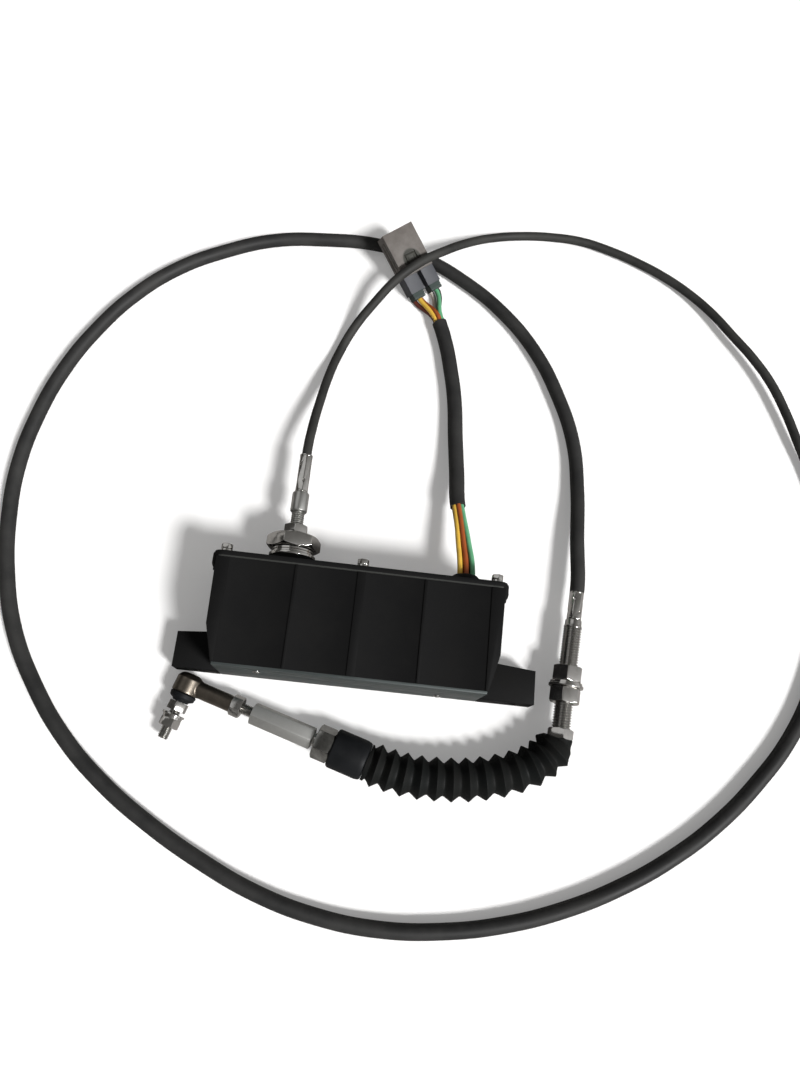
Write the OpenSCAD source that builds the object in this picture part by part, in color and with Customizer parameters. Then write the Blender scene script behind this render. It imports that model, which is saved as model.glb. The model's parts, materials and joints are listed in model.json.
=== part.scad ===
// Engine governor actuator: a cast box with a geared motor inside, a wiring
// harness, and one push-pull control cable that ends in a bellows, a hexagon
// coupling and a ball joint. It lies on its back, so +Z is up from the floor,
// +X runs along the box and +Y points out of the lid.

/* [Box] */
// Length of the cast box along X
box_length = 210; // [190:1:250]
// Height of the casting, from the base plate's face to the rim
box_height = 77; // [70:1:95]
// Depth of the box, from its back to its ribbed front
box_depth = 56.5; // [54:0.5:66]
// Thickness of the cast walls
wall = 4; // [3:0.5:5]
// How far each side wall leans in between the rim and the feet
side_draft = 1; // [0:0.5:3]
// How far each end steps in at the foot end, above the feet
heel_inset = 8; // [4:0.5:10]
// How far the ribs and side margins stand out from the front
rib_height = 0.8; // [0.4:0.1:1.4]
// Width of the wide rib down the middle of the front
middle_rib_w = 6; // [4:0.5:10]
// Width of the two narrow ribs beside it
side_rib_w = 2; // [1:0.5:4]
// Distance of each narrow rib from the middle
side_rib_x = 47; // [30:1:60]
// Width of the raised margin along each side of the front
margin_w = 9; // [6:0.5:12]

/* [Feet] */
// Height of the mounting feet, measured from the base
foot_height = 28; // [22:1:34]
// Thickness of the feet, measured up from the back
foot_depth = 20; // [16:1:26]
// Reach of the left foot beyond the box
foot_reach_left = 25; // [20:1:34]
// Reach of the right foot beyond the box
foot_reach_right = 33; // [22:1:40]
// Slope of the feet's lid side
foot_slope = 5; // [0:1:8]
// Diameter of the bolt hole through each foot
foot_hole_d = 9; // [6.6:0.1:11]

/* [Base plate] */
// Thickness of the plate that closes the foot end
base_plate_t = 2; // [1.5:0.5:3]
// Margin of the base plate inside the end of the casting
base_plate_margin = 0.6; // [0.2:0.1:2]
// Distance of its two screws from the middle
base_screw_x = 66; // [50:1:80]
// Height of the lower screw above the back
base_screw_z = 14; // [10:1:20]
// Thread diameter of the base plate's screws
base_screw_d = 3; // [2.5:0.5:4]

/* [Lid] */
// Thickness of the lid
lid_t = 3.5; // [3:0.5:5]
// Thickness of the gasket under the lid
gasket_t = 1; // [0.8:0.1:2]
// How far the lid stands out past each end of the box
lid_overhang = 2.2; // [1:0.1:3]
// How far the lid stands out past the ribbed front
lid_front_overhang = 0.8; // [0:0.1:1.5]
// Radius of the lugs that hold the corner screws
lug_r = 7.5; // [7:0.5:8.5]
// Height of those lugs below the rim
lug_h = 9; // [8:0.5:12]
// Distance of the corner screws in from the ends of the box
lug_inset = 5.5; // [5:0.5:7]
// Radius of the two bosses for the middle screws
boss_r = 5.5; // [5:0.5:6]
// Length of those bosses below the rim
boss_len = 12; // [9:0.5:13]
// Thread diameter of the lid screws
lid_screw_d = 5; // [4:0.5:5]
// Length of the lid screws under the head
lid_screw_len = 12; // [11:1:13]

/* [Cable gland] */
// Place of the cable along the lid
gland_x = -54; // [-60:1:-45]
// How far the cable's axis lies below the middle of the box's depth
gland_drop = 0.25; // [0:0.25:2]
// Thread diameter of the bushing through the lid
bushing_d = 24; // [20:1:26]
// Width across flats of the bushing's inner flange
bushing_af = 30; // [28:1:32]
// Thickness of the bushing's inner flange
bushing_flange_t = 5; // [4:0.5:6]
// Diameter of the lid's boss round the bushing
gland_boss_d = 34; // [30:1:38]
// Height of that boss
gland_boss_h = 6.5; // [4:0.5:8]
// Diameter of the two washers on the boss
gland_washer_d = 35; // [32:1:38]
// Width across flats of the large nut
gland_nut_af = 36; // [32:1:38]
// Height of the large nut
gland_nut_h = 15.5; // [12:0.5:18]

/* [Cable end at the box] */
// Thread diameter of the cable's end
hub_d = 10; // [8:1:12]
// Width across flats of its locknut
hub_nut_af = 17; // [14:1:19]
// Height of its locknut
hub_nut_h = 7.5; // [6:0.5:9]
// Length of thread that shows beyond the locknut
hub_thread_free = 10.5; // [6:0.5:16]
// Diameter of the smooth body behind the thread
hub_body_d = 12.6; // [11:0.1:14]
// Length of the smooth body
hub_body_len = 16; // [10:1:22]
// Diameter of the crimped ferrule
hub_ferrule_d = 10; // [9:0.1:12]
// Length of the crimped ferrule
hub_ferrule_len = 32; // [24:1:40]
// Diameter of the passage for the inner wire
hub_bore_d = 4; // [3.5:0.1:5]

/* [Control cable] */
// Diameter of the control cable
cable_d = 7.6; // [6:0.2:8]
// Diameter of the protective sleeve over the engine end
sleeve_d = 11.4; // [9:0.2:11.6]
// Diameter of the inner wire
inner_wire_d = 3; // [2:0.5:3]

/* [Engine fitting] */
// Diameter of the threaded tube
tube_d = 14; // [12:0.5:16]
// Diameter of its bore
tube_bore_d = 5; // [4:0.5:6]
// Diameter of the crimped ferrule
ferrule_d = 11; // [10:0.2:12]
// Length of the crimped ferrule
ferrule_len = 22.5; // [18:0.5:26]
// Length of the smooth neck behind the thread
neck_len = 6; // [3:0.5:10]
// Diameter of the smooth neck
neck_d = 12.6; // [11:0.2:14]
// Length of thread between the neck and the first nut
thread_upper = 30.5; // [20:0.5:40]
// Width across flats of the two fixing nuts
fixing_nut_af = 21; // [19:1:22]
// Height of each fixing nut
fixing_nut_h = 12; // [9:0.5:13]
// Diameter of the washers between the fixing nuts
fixing_washer_d = 26; // [24:1:27]
// Thickness of each of those washers
fixing_washer_t = 2; // [1.5:0.5:3]
// Length of thread between the second nut and the end nut
thread_lower = 19; // [12:0.5:26]
// Width across flats of the end nut
end_nut_af = 17; // [15:1:19]
// Height of the end nut
end_nut_h = 7.5; // [5:0.5:9]
// Heading of the fitting seen from above, measured from +X
fitting_heading = -94.7; // [-98:0.1:-90]

/* [Bellows] */
// Diameter over the folds
bellows_d = 31; // [29:0.5:31]
// Diameter at the roots between the folds
bellows_root_d = 25; // [22:0.5:26]
// Thickness of the rubber
bellows_t = 1.5; // [1:0.1:2]
// Diameter of the mouth at the fitting
mouth_d = 19; // [17:0.5:21]
// Diameter of the collar
collar_d = 28.6; // [26:0.2:28.6]
// Length of the collar
collar_len = 27; // [20:1:32]

/* [Rod] */
// Diameter of the pull rod through the collar
rod_d = 10; // [8:0.5:12]
// Width across flats of the nut at the collar
collar_nut_af = 22; // [19:1:24]
// Height of the nut at the collar
collar_nut_h = 13; // [8:0.5:14]
// Width across flats of the hexagon coupling
coupling_af = 14.5; // [13:0.5:17]
// Length of the hexagon coupling
coupling_len = 48; // [40:1:60]
// Roll of the coupling's flat away from upright
coupling_roll = 15.5; // [0:0.5:30]
// Thread diameter of the stud between the coupling and the ball joint
stud_d = 8; // [6:0.5:8]
// Length of stud that shows
stud_free = 8.5; // [4:0.5:14]
// Width across flats of the nut against the ball joint
jam_nut_af = 14; // [13:0.5:15]
// Height of the nut against the ball joint
jam_nut_h = 8; // [5:0.5:9]

/* [Ball joint] */
// Distance of the ball's centre from the collar's bellows end
ball_x = 142.8; // [140:0.2:155]
// Diameter of the ball
ball_d = 13; // [11:0.5:13]
// Diameter of the housing's head
head_d = 19.6; // [18:0.2:19.6]
// Height of the head behind the ball's centre
head_back = 8.5; // [8:0.5:10]
// Height of the head in front of the ball's centre
head_front = 6.5; // [6:0.5:7]
// Diameter of the housing's shank
shank_d = 12.4; // [11:0.2:12.8]
// Diameter of the ball stud's neck
ball_neck_d = 7; // [6:0.5:7]
// Where the stud's hexagon starts, from the ball's centre
stud_hex_start = 13.5; // [12:0.5:16]
// Height of the stud's hexagon
stud_hex_h = 6.5; // [5:0.5:8]
// Width across flats of the stud's hexagon and of its nut
stud_hex_af = 13; // [12:0.5:14]
// Thread diameter of the ball stud
ball_stud_d = 8; // [6:0.5:8]
// Length of the ball stud from the ball's centre
ball_stud_len = 41; // [38:0.5:44]
// Space left for a lever between the hexagon and the washers
lever_space = 2.4; // [0.5:0.1:3]
// Diameter of the washers on the ball stud
stud_washer_d = 16.5; // [14:0.5:17]
// Height of the nut on the ball stud
stud_nut_h = 6.5; // [5:0.5:7]
// Diameter of the dust boot at the head
boot_d = 19.4; // [17:0.2:19.4]
// Diameter of the dust boot at the hexagon
boot_small_d = 11.5; // [10:0.5:13]

/* [Harness] */
// Place of the grommet along the lid
grommet_x = 78.5; // [74:0.5:82]
// Diameter of the grommet outside the lid
grommet_d = 22.6; // [20:0.2:26]
// How far the grommet's dome stands out of the lid
grommet_dome = 13.5; // [9:0.5:15]
// Diameter of the grommet's neck in the lid
grommet_neck_d = 16; // [15.6:0.2:18]
// Diameter of each wire
wire_d = 2.2; // [1.6:0.1:2.3]
// Spacing of the wires along the grommet
wire_pitch = 5.4; // [4:0.1:5.6]
// Spacing of the two rows of wires
wire_row = 6; // [4:0.5:7]
// Diameter of the black sleeve round the wires
harness_d = 10; // [9:0.5:11]

/* [Connector] */
// Width of the connector
connector_w = 30; // [26:1:34]
// Height of the connector
connector_h = 16; // [14:0.5:18]
// Length of the connector's front housing
connector_len = 39; // [32:1:44]
// Length of the two lobes at the wire side
lobe_len = 15; // [10:0.5:18]
// Width of each lobe
lobe_w = 12.5; // [11:0.5:14]
// Thickness of the connector's walls
connector_wall = 2; // [1.5:0.1:2.5]
// Depth of the mating mouth
connector_mouth = 20; // [14:1:24]
// How far each wire seal stands out of its lobe
seal_len = 4; // [2:0.5:5]

/* [Drive] */
// Distance of the cable's pin from the lever's axis
lever_r = 30; // [26:1:31]
// Thickness of the lever
lever_t = 4; // [3:0.5:5]
// Width of the lever
lever_w = 12; // [10:0.5:14]
// Diameter of the cable's pin
pin_d = 8; // [6:0.5:8]
// Diameter of the output shaft
shaft_d = 8; // [6:0.5:8]
// Pitch diameter of the output gear
output_gear_d = 44; // [42:0.5:45]
// Teeth of the output gear
output_teeth = 44; // [40:2:46]
// Pitch diameter of the intermediate wheel
wheel_d = 43.2; // [41:0.2:44]
// Teeth of the intermediate wheel
wheel_teeth = 54; // [50:2:56]
// Teeth of each pinion
pinion_teeth = 12; // [12:2:14]
// Width of the output gear
output_gear_w = 5; // [4:0.5:5]
// Width of the intermediate wheel
wheel_w = 3; // [2:0.5:3]
// Diameter of the motor
motor_d = 38; // [34:1:40]
// Thickness of the motor's can
motor_can_t = 1.5; // [1:0.1:2]
// Thickness of the gear plate
gear_plate_t = 3; // [2:0.5:3]
// Diameter of the position sensor
sensor_d = 30; // [26:1:30]

/* [Hidden] */

$fn = 48;

// Clearances and small allowances
fit = 0.05;
running = 0.1;
seat = 0.3;
overrun = 1;
hole_play = 0.5;
// Roll that turns a flat of a hexagon to the top
flat_roll = 30;
floor_gap = 0.1;
washer_step = 2;

// Colours
cast_black = "#242526";
slate = "#5d6a6c";
steel = "#a9abab";
zinc = "#c2c3c1";
brass = "#b99a58";
rubber = "#1b1c1d";
sheath = "#3b3c3b";
connector_grey = "#9b9791";

// Overall heights of the box, measured along Y from the middle
overall = box_height + gasket_t + lid_t;
base_y = -overall / 2;
shell_y = base_y + base_plate_t;
rim_y = base_y + box_height;
lid_y = rim_y + gasket_t;
lid_top_y = lid_y + lid_t;
half_l = box_length / 2;
foot_top_y = base_y + foot_height;
face_z = box_depth - rib_height;
gland_z = box_depth / 2 - gland_drop;
lug_x = half_l - lug_inset;
screw_z = [lug_r, box_depth - lug_r];
screw_spots = concat([for (z = screw_z) for (x = [-lug_x, lug_x]) [x, z]],
    [for (z = screw_z) [0, z]]);

// Screws
lid_hole_d = lid_screw_d + hole_play;
lid_tap_d = lid_screw_d + 2 * fit;
lid_head_d = 1.7 * lid_screw_d;
lid_head_h = 0.7 * lid_screw_d;
lid_washer_t = 0.28 * lid_screw_d;
lid_washer_d = 1.8 * lid_screw_d;
tap_floor = 1;
base_head_d = 1.9 * base_screw_d;
base_head_h = 0.5 * base_screw_d;
base_screw_len = base_plate_t + 0.75 * wall;
base_spots = [[base_screw_x, base_screw_z], [-base_screw_x, box_depth - base_screw_z]];

// Gland, as stations along Y
gland_seat_y = lid_top_y + gland_boss_h;
gland_washer_t = [2, 1.5];
gland_nut_y = gland_seat_y + gland_washer_t[0] + gland_washer_t[1];
hub_nut_y = gland_nut_y + gland_nut_h;
hub_body_y = hub_nut_y + hub_nut_h + hub_thread_free;
hub_ferrule_y = hub_body_y + hub_body_len;
hub_end_y = hub_ferrule_y + hub_ferrule_len;
bushing_hole_d = bushing_d + hole_play;
hub_in = 3;
wire_in_hub = 10;

// Fitting at the engine end, as stations from the sleeve's end to the bellows
linkage_z = max(bellows_d / 2, collar_d / 2 + 0.04 * collar_len);
fitting_end = [159.4, -63.1, linkage_z];
neck_s = ferrule_len;
thread_s = neck_s + neck_len;
nut_one_s = thread_s + thread_upper;
washer_s = nut_one_s + fixing_nut_h;
nut_two_s = washer_s + 2 * fixing_washer_t;
end_nut_s = nut_two_s + fixing_nut_h + thread_lower;
tube_end_s = end_nut_s + end_nut_h;
fitting_dir = [cos(fitting_heading), sin(fitting_heading), 0];
fitting_start = fitting_end - tube_end_s * fitting_dir;
tube_bore_len = 40;
fixing_nut_rolls = [0, 14];

// Route of the inner wire from the fitting to the collar, one point for each fold
fold_route = [[153.5, -71.8], [147, -78.2], [138.5, -84.2], [127.5, -89.4], [116, -93.3],
    [104, -96.4], [92.5, -98.5], [81, -99.7], [69.5, -100.2], [58, -100.2], [46.5, -99.3],
    [36, -97.6], [26, -95.3]];
fold_points = [for (p = fold_route) [p[0], p[1], linkage_z]];
mouth_len = 3;
wire_in_tube = 10;
rod_start = [19, -93.5, linkage_z];
rod_yaw = 163.2;
rod_droop = asin((linkage_z - head_d / 2 - floor_gap) / ball_x);
rod_dir = [cos(rod_droop) * cos(rod_yaw), cos(rod_droop) * sin(rod_yaw), -sin(rod_droop)];

// Rod, as stations from the collar's bellows end
collar_nut_x = collar_len;
coupling_neck = 2.5;
coupling_x = collar_nut_x + collar_nut_h + coupling_neck;
coupling_end = coupling_x + coupling_len;
jam_nut_x = coupling_end + stud_free;
shank_x = jam_nut_x + jam_nut_h;
rod_in = 14;
rod_back = 5;
stud_in = 12;
jam_nut_roll = 10;
collar_chamfer = 1.2;
collar_nut_roll = 5;
socket_open = 4;
relief_start = 2;
relief_slope = 0.6;
boot_t = 1.5;
boot_start = head_front + seat;
boot_end = stud_hex_start - seat;
stud_washer_t = [1.6, 2];
stud_washer_y = stud_hex_start + stud_hex_h + lever_space;
stud_nut_y = stud_washer_y + stud_washer_t[0] + stud_washer_t[1];
lead_gap = 0.5;
lead_step = 0.2;
lead_y = stud_nut_y + stud_nut_h + lead_gap;

// Route of the control cable, from the box to the sleeve's mouth
cable_route = [[-53, 159.5, 23], [-50.5, 186, 16], [-47, 212.5, 9.5], [-41, 239, 4.5],
    [-30.5, 264, 8], [-16, 283.5, 18.5], [0.5, 303, 27.5], [20, 322, 30], [39, 339, 25.5],
    [60, 357.5, 16.5], [84, 373, 8], [110.5, 382, 4], [138, 385, 4], [165.5, 384.5, 4],
    [192.5, 378.5, 4], [218.5, 369.5, 4], [243.5, 357.5, 4.5], [266.5, 342, 5.5],
    [286.5, 323, 7.5], [304, 302, 9], [321.5, 281, 10], [337, 258, 10], [349, 233, 9],
    [359, 207.5, 7.5], [369, 181.5, 6], [377, 155, 6], [381.5, 128, 5.8]];
// Route of the sleeved part, from the engine fitting to the sleeve's mouth
sleeve_route = [[168.5, 94.5, 11.8], [168.5, 138.5, 7.2], [163.5, 182.5, 5.8],
    [148.5, 224.5, 5.8], [127, 263.5, 5.8], [97.5, 297, 5.8], [62, 323.5, 5.8], [22, 343, 5.8],
    [-21.5, 351, 5.8], [-66, 349, 5.8], [-110, 341.5, 5.8], [-151, 324, 5.8],
    [-188.5, 300.5, 5.8], [-220, 269, 5.8], [-244.5, 232, 5.8], [-263, 191.5, 5.8],
    [-274.5, 148.5, 5.8], [-279.5, 104.5, 5.8], [-276.5, 60, 5.8], [-267.5, 16.5, 5.8],
    [-252, -25.5, 5.8], [-228.5, -63.5, 5.8], [-200, -97.5, 5.8], [-166, -126.5, 5.8],
    [-128.5, -150.5, 5.8], [-89, -171, 5.8], [-48, -188, 5.8], [-5, -199, 5.8],
    [39.5, -203.5, 5.8], [84, -201, 5.8], [127.5, -193, 5.8], [170, -179.5, 5.8],
    [210.5, -161, 5.8], [248.5, -138, 5.8], [283.5, -110.5, 5.8], [314.5, -78.5, 5.8],
    [341.5, -43, 5.8], [361.5, -3, 5.8], [374, 39.5, 5.8], [380.5, 83.5, 5.8],
    [381.5, 128, 5.8]];
cord_sides = 10;
wire_sides = 8;

// Harness: route of its black sleeve, from the box to the connector
harness_route = [[67.7, 109.7, 17], [65, 140, 11], [62, 172, 6.6], [58.5, 207.5, 5.4],
    [53, 235.5, 5.4], [46.5, 263.5, 5.4], [36, 287, 6.5]];
harness_start_dir = [-0.19, 0.96, -0.2];
harness_end_dir = [-0.42, 0.9, 0.08];
wire_columns = [-1, 0, 1, -1, 0, 1];
wire_rows = [1, 1, 1, -1, -1, -1];
wire_angles = [150, 90, 30, 210, 270, 330];
wire_ring_r = 1.22 * wire_d;
wire_start_y = 12;
wire_out_y = 8;
wire_straight = 6;
grommet_lip = 1;
grommet_lip_h = 1.5;
grommet_tail = 2;
grommet_rim_h = 3;
grommet_bore_back = 6;
grommet_z = gland_z;
grommet_hole_d = wire_d + seat;

// Connector: placed by the middle of its lower rear edge
connector_at = [23, 313.4, 0.5];
connector_yaw = 130;
connector_pitch = 24;
lobe_y = connector_w / 2 - lobe_w / 2;
lobe_h = 0.88 * connector_h;
seal_share = 0.86;
wire_spread = 3.2;
// Places of the wires on the two seals, as shares of the spread and of the height
seat_shares = [[1, 0, 0.55], [1, -1, 0.25], [1, 1, 0.25], [-1, 0, 0.55], [-1, -1, 0.25],
    [-1, 1, 0.25]];
seal_in = 5;
latch_depth = 1.2;
latch_gap = 2;
contact_w = 1.2;
contact_pitch = 7;
wire_seats = [0, 1, 3, 2, 5, 4];
wire_lead_share = 0.25;
wire_end_share = 0.2;
wire_rise_share = 0.1;

// Drive: the lever's axis stands one lever radius beside the cable
output_x = gland_x + lever_r;
gear_module = output_gear_d / output_teeth;
fine_module = wheel_d / wheel_teeth;
middle_x = output_x + gear_module * (pinion_teeth + output_teeth) / 2;
motor_x = middle_x + fine_module * (pinion_teeth + wheel_teeth) / 2;
gear_gap = 0.5;
roof_gap = 2.2;
plate_z = face_z - wall - roof_gap - gear_plate_t - 5 * gear_gap - output_gear_w - wheel_w;
gear_z = plate_z + gear_plate_t + 3 * gear_gap;
wheel_z = gear_z + output_gear_w + gear_gap;
wheel_top = wheel_z + wheel_w + gear_gap;
shaft_top_z = gear_z + output_gear_w;
bush_t = 1.5;
bush_h = 5;
bush_below = 0.5;
boss_wall = 2;
collar_r = shaft_d / 2 + bush_t + boss_wall;
wire_gap = 1;
lever_z = gland_z - inner_wire_d / 2 - wire_gap - lever_t;
lever_hub_h = 3;
hub_r = lever_w / 2 + boss_wall;
pin_above = 3.5;
post_r = 4.5;
plate_gap = 0.95;
plate_half = -(shell_y + wall) - plate_gap;
post_y = plate_half - post_r - seat;
post_tap = 10;
post_screw_d = 3;
plate_screw_in = 8;
plate_edge = 8;
post_spots = [for (x = [output_x + shaft_d / 2, motor_x + motor_d / 2], y = [-post_y, post_y])
    [x, y]];
motor_shaft_d = 4;
motor_cap_t = 2;
motor_below = 3;
motor_z = wall + motor_below + motor_cap_t;
motor_len = plate_z - motor_z;
arm_below_share = 0.185;
arm_share = 0.74;
idler_d = 5;
sensor_h = 9;
board_t = 1.6;
board_post_h = 14;
board_post_r = 2.5;
board_inset = 3;
board_size = [34, 34];
board_y = -4;
block_size = [22, 9];
block_above = 4;

function unit(v) = v / norm(v);

// Mean direction of a route at each point, with given directions at its ends
function headings(p, first, last) = [for (i = [0:len(p) - 1])
    i == 0 ? unit(first) : i == len(p) - 1 ? unit(last)
    : unit(unit(p[i + 1] - p[i]) + unit(p[i] - p[i - 1]))];

// Points of one ring of a swept solid
function ring(c, t, r, n) = let (s = unit(cross([0, 0, 1], t)), u = cross(t, s))
    [for (k = [0:n - 1]) c + r * (cos(360 * k / n) * s + sin(360 * k / n) * u)];

function ring_walls(rings, n, closed) = [for (i = [0:rings - (closed ? 1 : 2)], k = [0:n - 1])
    let (j = (i + 1) % rings, m = (k + 1) % n)
    each [[i * n + k, j * n + k, j * n + m], [i * n + k, j * n + m, i * n + m]]];

// Solid round bar along a route
module sweep(route, d, n, first, last) {
    dirs = headings(route, first, last);
    count = len(route);
    polyhedron(
        [for (i = [0:count - 1]) each ring(route[i], dirs[i], d / 2, n)],
        concat(ring_walls(count, n, false), [[for (k = [0:n - 1]) k]],
            [[for (k = [0:n - 1]) count * n - 1 - k]]));
}

// Hollow body along a route, closed between its outer and inner rings
module shell_sweep(route, dirs, outer, inner, n) {
    count = len(route);
    polyhedron(
        concat([for (i = [0:count - 1]) each ring(route[i], dirs[i], outer[i], n)],
            [for (i = [count - 1:-1:0]) each ring(route[i], dirs[i], inner[i], n)]),
        ring_walls(2 * count, n, true));
}

// Turns a shape drawn in X and Z so that it grows along +Y
module grow_y(y0) {
    translate([0, y0, 0]) rotate([90, 0, 0]) mirror([0, 0, 1]) children();
}

module round_rect(x0, x1, y0, y1, r) {
    translate([x0 + r, y0]) square([x1 - x0 - 2 * r, y1 - y0]);
    translate([x0, y0 + r]) square([x1 - x0, y1 - y0 - 2 * r]);
    for (x = [x0 + r, x1 - r], y = [y0 + r, y1 - r]) translate([x, y]) circle(r);
}

// Hexagon with its corners turned down at both ends, bored through
module hex_piece(af, h, bore, roll) {
    r = af / sqrt(3);
    drop = (r - af / 2) * 0.6;
    rotate([0, 0, roll]) difference() {
        intersection() {
            cylinder(h = h, r = r, $fn = 6);
            rotate_extrude() polygon([[0, 0], [af / 2, 0], [r, drop], [r, h - drop],
                [af / 2, h], [0, h]]);
        }
        if (bore > 0)
            translate([0, 0, -overrun]) cylinder(h = h + 2 * overrun, d = bore);
    }
}

module washer(d, bore, t) {
    difference() {
        cylinder(h = t, d = d);
        translate([0, 0, -overrun]) cylinder(h = t + 2 * overrun, d = bore);
    }
}

// Box casting
module shell_outline(inset) {
    polygon([[-half_l + inset, rim_y + (inset > 0 ? overrun : 0)],
        [half_l - inset, rim_y + (inset > 0 ? overrun : 0)],
        [half_l - side_draft - inset, foot_top_y],
        [half_l - heel_inset - inset, shell_y + inset],
        [-half_l + heel_inset + inset, shell_y + inset],
        [-half_l + side_draft + inset, foot_top_y]]);
}

module foot(reach) {
    drop = reach * tan(foot_slope);
    x0 = half_l - heel_inset - overrun;
    difference() {
        linear_extrude(foot_depth) polygon([[x0, foot_top_y],
            [half_l, foot_top_y], [half_l + reach, foot_top_y - drop],
            [half_l + reach, base_y], [half_l - heel_inset, base_y],
            [half_l - heel_inset, shell_y], [x0, shell_y]]);
        translate([half_l + reach / 2, 0, foot_depth / 2]) grow_y(base_y - overrun)
            cylinder(h = foot_height + 2 * overrun, d = foot_hole_d);
    }
}

module front_ribs() {
    translate([0, 0, face_z]) linear_extrude(rib_height) intersection() {
        shell_outline(0);
        union() {
            for (side = [-1, 1]) {
                translate([side * (half_l - margin_w / 2) - margin_w / 2 - overrun, shell_y])
                    square([margin_w + 2 * overrun, box_height]);
                translate([side * side_rib_x - side_rib_w / 2, shell_y])
                    square([side_rib_w, box_height]);
            }
            translate([-middle_rib_w / 2, shell_y]) square([middle_rib_w, box_height]);
        }
    }
}

module housing() {
    color(cast_black) difference() {
        union() {
            difference() {
                union() {
                    linear_extrude(face_z) shell_outline(0);
                    front_ribs();
                    foot(foot_reach_right);
                    mirror([1, 0, 0]) foot(foot_reach_left);
                }
                translate([0, 0, wall]) linear_extrude(face_z - 2 * wall) shell_outline(wall);
            }
            for (x = [-lug_x, lug_x], z = screw_z)
                translate([x, 0, z]) grow_y(rim_y - lug_h) cylinder(h = lug_h, r = lug_r);
            intersection() {
                for (z = screw_z)
                    translate([0, 0, z]) grow_y(rim_y - boss_len) cylinder(h = boss_len, r = boss_r);
                linear_extrude(face_z) shell_outline(0);
            }
            for (p = post_spots) translate([p[0], p[1], wall - overrun])
                cylinder(h = plate_z - wall + overrun, r = post_r);
            translate([output_x, 0, wall - overrun]) cylinder(h = bush_h + overrun, r = collar_r);
            for (sx = [-1, 1], sy = [-1, 1])
                translate([grommet_x + sx * (board_size[0] / 2 - board_inset),
                    board_y + sy * (board_size[1] / 2 - board_inset), wall - overrun])
                    cylinder(h = board_post_h + overrun, r = board_post_r);
        }
        for (p = screw_spots) translate([p[0], 0, p[1]])
            grow_y(rim_y - lug_h + tap_floor)
                cylinder(h = lug_h - tap_floor + overrun, d = lid_tap_d);
        for (p = post_spots) translate([p[0], p[1], plate_z - post_tap])
            cylinder(h = post_tap + overrun, d = post_screw_d + 2 * fit);
        for (p = base_spots) translate([p[0], 0, p[1]]) grow_y(shell_y - overrun)
            cylinder(h = wall + 2 * overrun, d = base_screw_d + 2 * fit);
        translate([output_x, 0, wall]) cylinder(h = bush_h + overrun,
            d = shaft_d + 2 * bush_t + 2 * fit);
    }
}

module base_plate() {
    x = half_l - heel_inset - base_plate_margin;
    color(slate) difference() {
        grow_y(base_y) linear_extrude(base_plate_t)
            translate([-x, base_plate_margin]) square([2 * x, face_z - base_plate_margin]);
        for (p = base_spots) translate([p[0], 0, p[1]]) grow_y(base_y - overrun)
            cylinder(h = base_plate_t + 2 * overrun, d = base_screw_d + hole_play);
    }
}

module base_screws() {
    color(zinc) for (p = base_spots) translate([p[0], 0, p[1]]) {
        grow_y(base_y - base_head_h) cylinder(h = base_head_h, d = base_head_d);
        grow_y(base_y) cylinder(h = base_screw_len, d = base_screw_d);
    }
}

module lid_shape(inset) {
    round_rect(-half_l - lid_overhang + inset, half_l + lid_overhang - inset, inset,
        box_depth + lid_front_overhang - inset, lug_r);
}

module lid_screw_holes(t) {
    for (p = screw_spots) translate([p[0], p[1], -overrun])
        cylinder(h = t + 2 * overrun, d = lid_hole_d);
}

module lid() {
    color(cast_black) grow_y(lid_y) difference() {
        union() {
            linear_extrude(lid_t) lid_shape(0);
            translate([gland_x, gland_z, 0]) cylinder(h = lid_t + gland_boss_h, d = gland_boss_d);
        }
        lid_screw_holes(lid_t);
        translate([gland_x, gland_z, -overrun])
            cylinder(h = lid_t + gland_boss_h + 2 * overrun, d = bushing_hole_d);
        translate([grommet_x, grommet_z, -overrun])
            cylinder(h = lid_t + 2 * overrun, d = grommet_neck_d + 2 * fit);
    }
}

module lid_gasket() {
    band = 2 * lug_r;
    color("#b7bab6") grow_y(rim_y) difference() {
        linear_extrude(gasket_t) difference() {
            lid_shape(seat);
            round_rect(-half_l + band, half_l - band, band, box_depth - band, lug_r / 2);
        }
        lid_screw_holes(gasket_t);
        translate([gland_x, gland_z, -overrun]) cylinder(h = gasket_t + 2 * overrun,
            d = 2 * bushing_af / sqrt(3) + hole_play);
    }
}

module lid_washers() {
    color(zinc) grow_y(lid_top_y) for (p = screw_spots) translate([p[0], p[1], 0])
        washer(lid_washer_d, lid_hole_d, lid_washer_t);
}

module lid_screws() {
    color(zinc) grow_y(lid_top_y + lid_washer_t) for (p = screw_spots)
        translate([p[0], p[1], 0]) {
            cylinder(h = lid_head_h, d = lid_head_d);
            translate([0, 0, -lid_screw_len]) cylinder(h = lid_screw_len, d = lid_screw_d);
        }
}

// Gland
module gland_axis(y0) {
    translate([gland_x, 0, gland_z]) grow_y(y0) children();
}

module gland_bushing() {
    color(zinc) difference() {
        union() {
            gland_axis(lid_y - bushing_flange_t) hex_piece(bushing_af, bushing_flange_t, 0, 0);
            gland_axis(lid_y - overrun)
                cylinder(h = hub_nut_y - lid_y + overrun, d = bushing_d);
        }
        gland_axis(lid_y - bushing_flange_t - overrun)
            cylinder(h = hub_nut_y - lid_y + bushing_flange_t + 2 * overrun, d = hub_d + 2 * fit);
    }
}

module gland_washers() {
    color(zinc) {
        gland_axis(gland_seat_y) washer(gland_washer_d, bushing_hole_d, gland_washer_t[0]);
        gland_axis(gland_seat_y + gland_washer_t[0])
            washer(gland_washer_d - washer_step, bushing_hole_d, gland_washer_t[1]);
    }
}

module gland_nut() {
    color(zinc) gland_axis(gland_nut_y)
        hex_piece(gland_nut_af, gland_nut_h, bushing_d + 2 * fit, 0);
}

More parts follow.
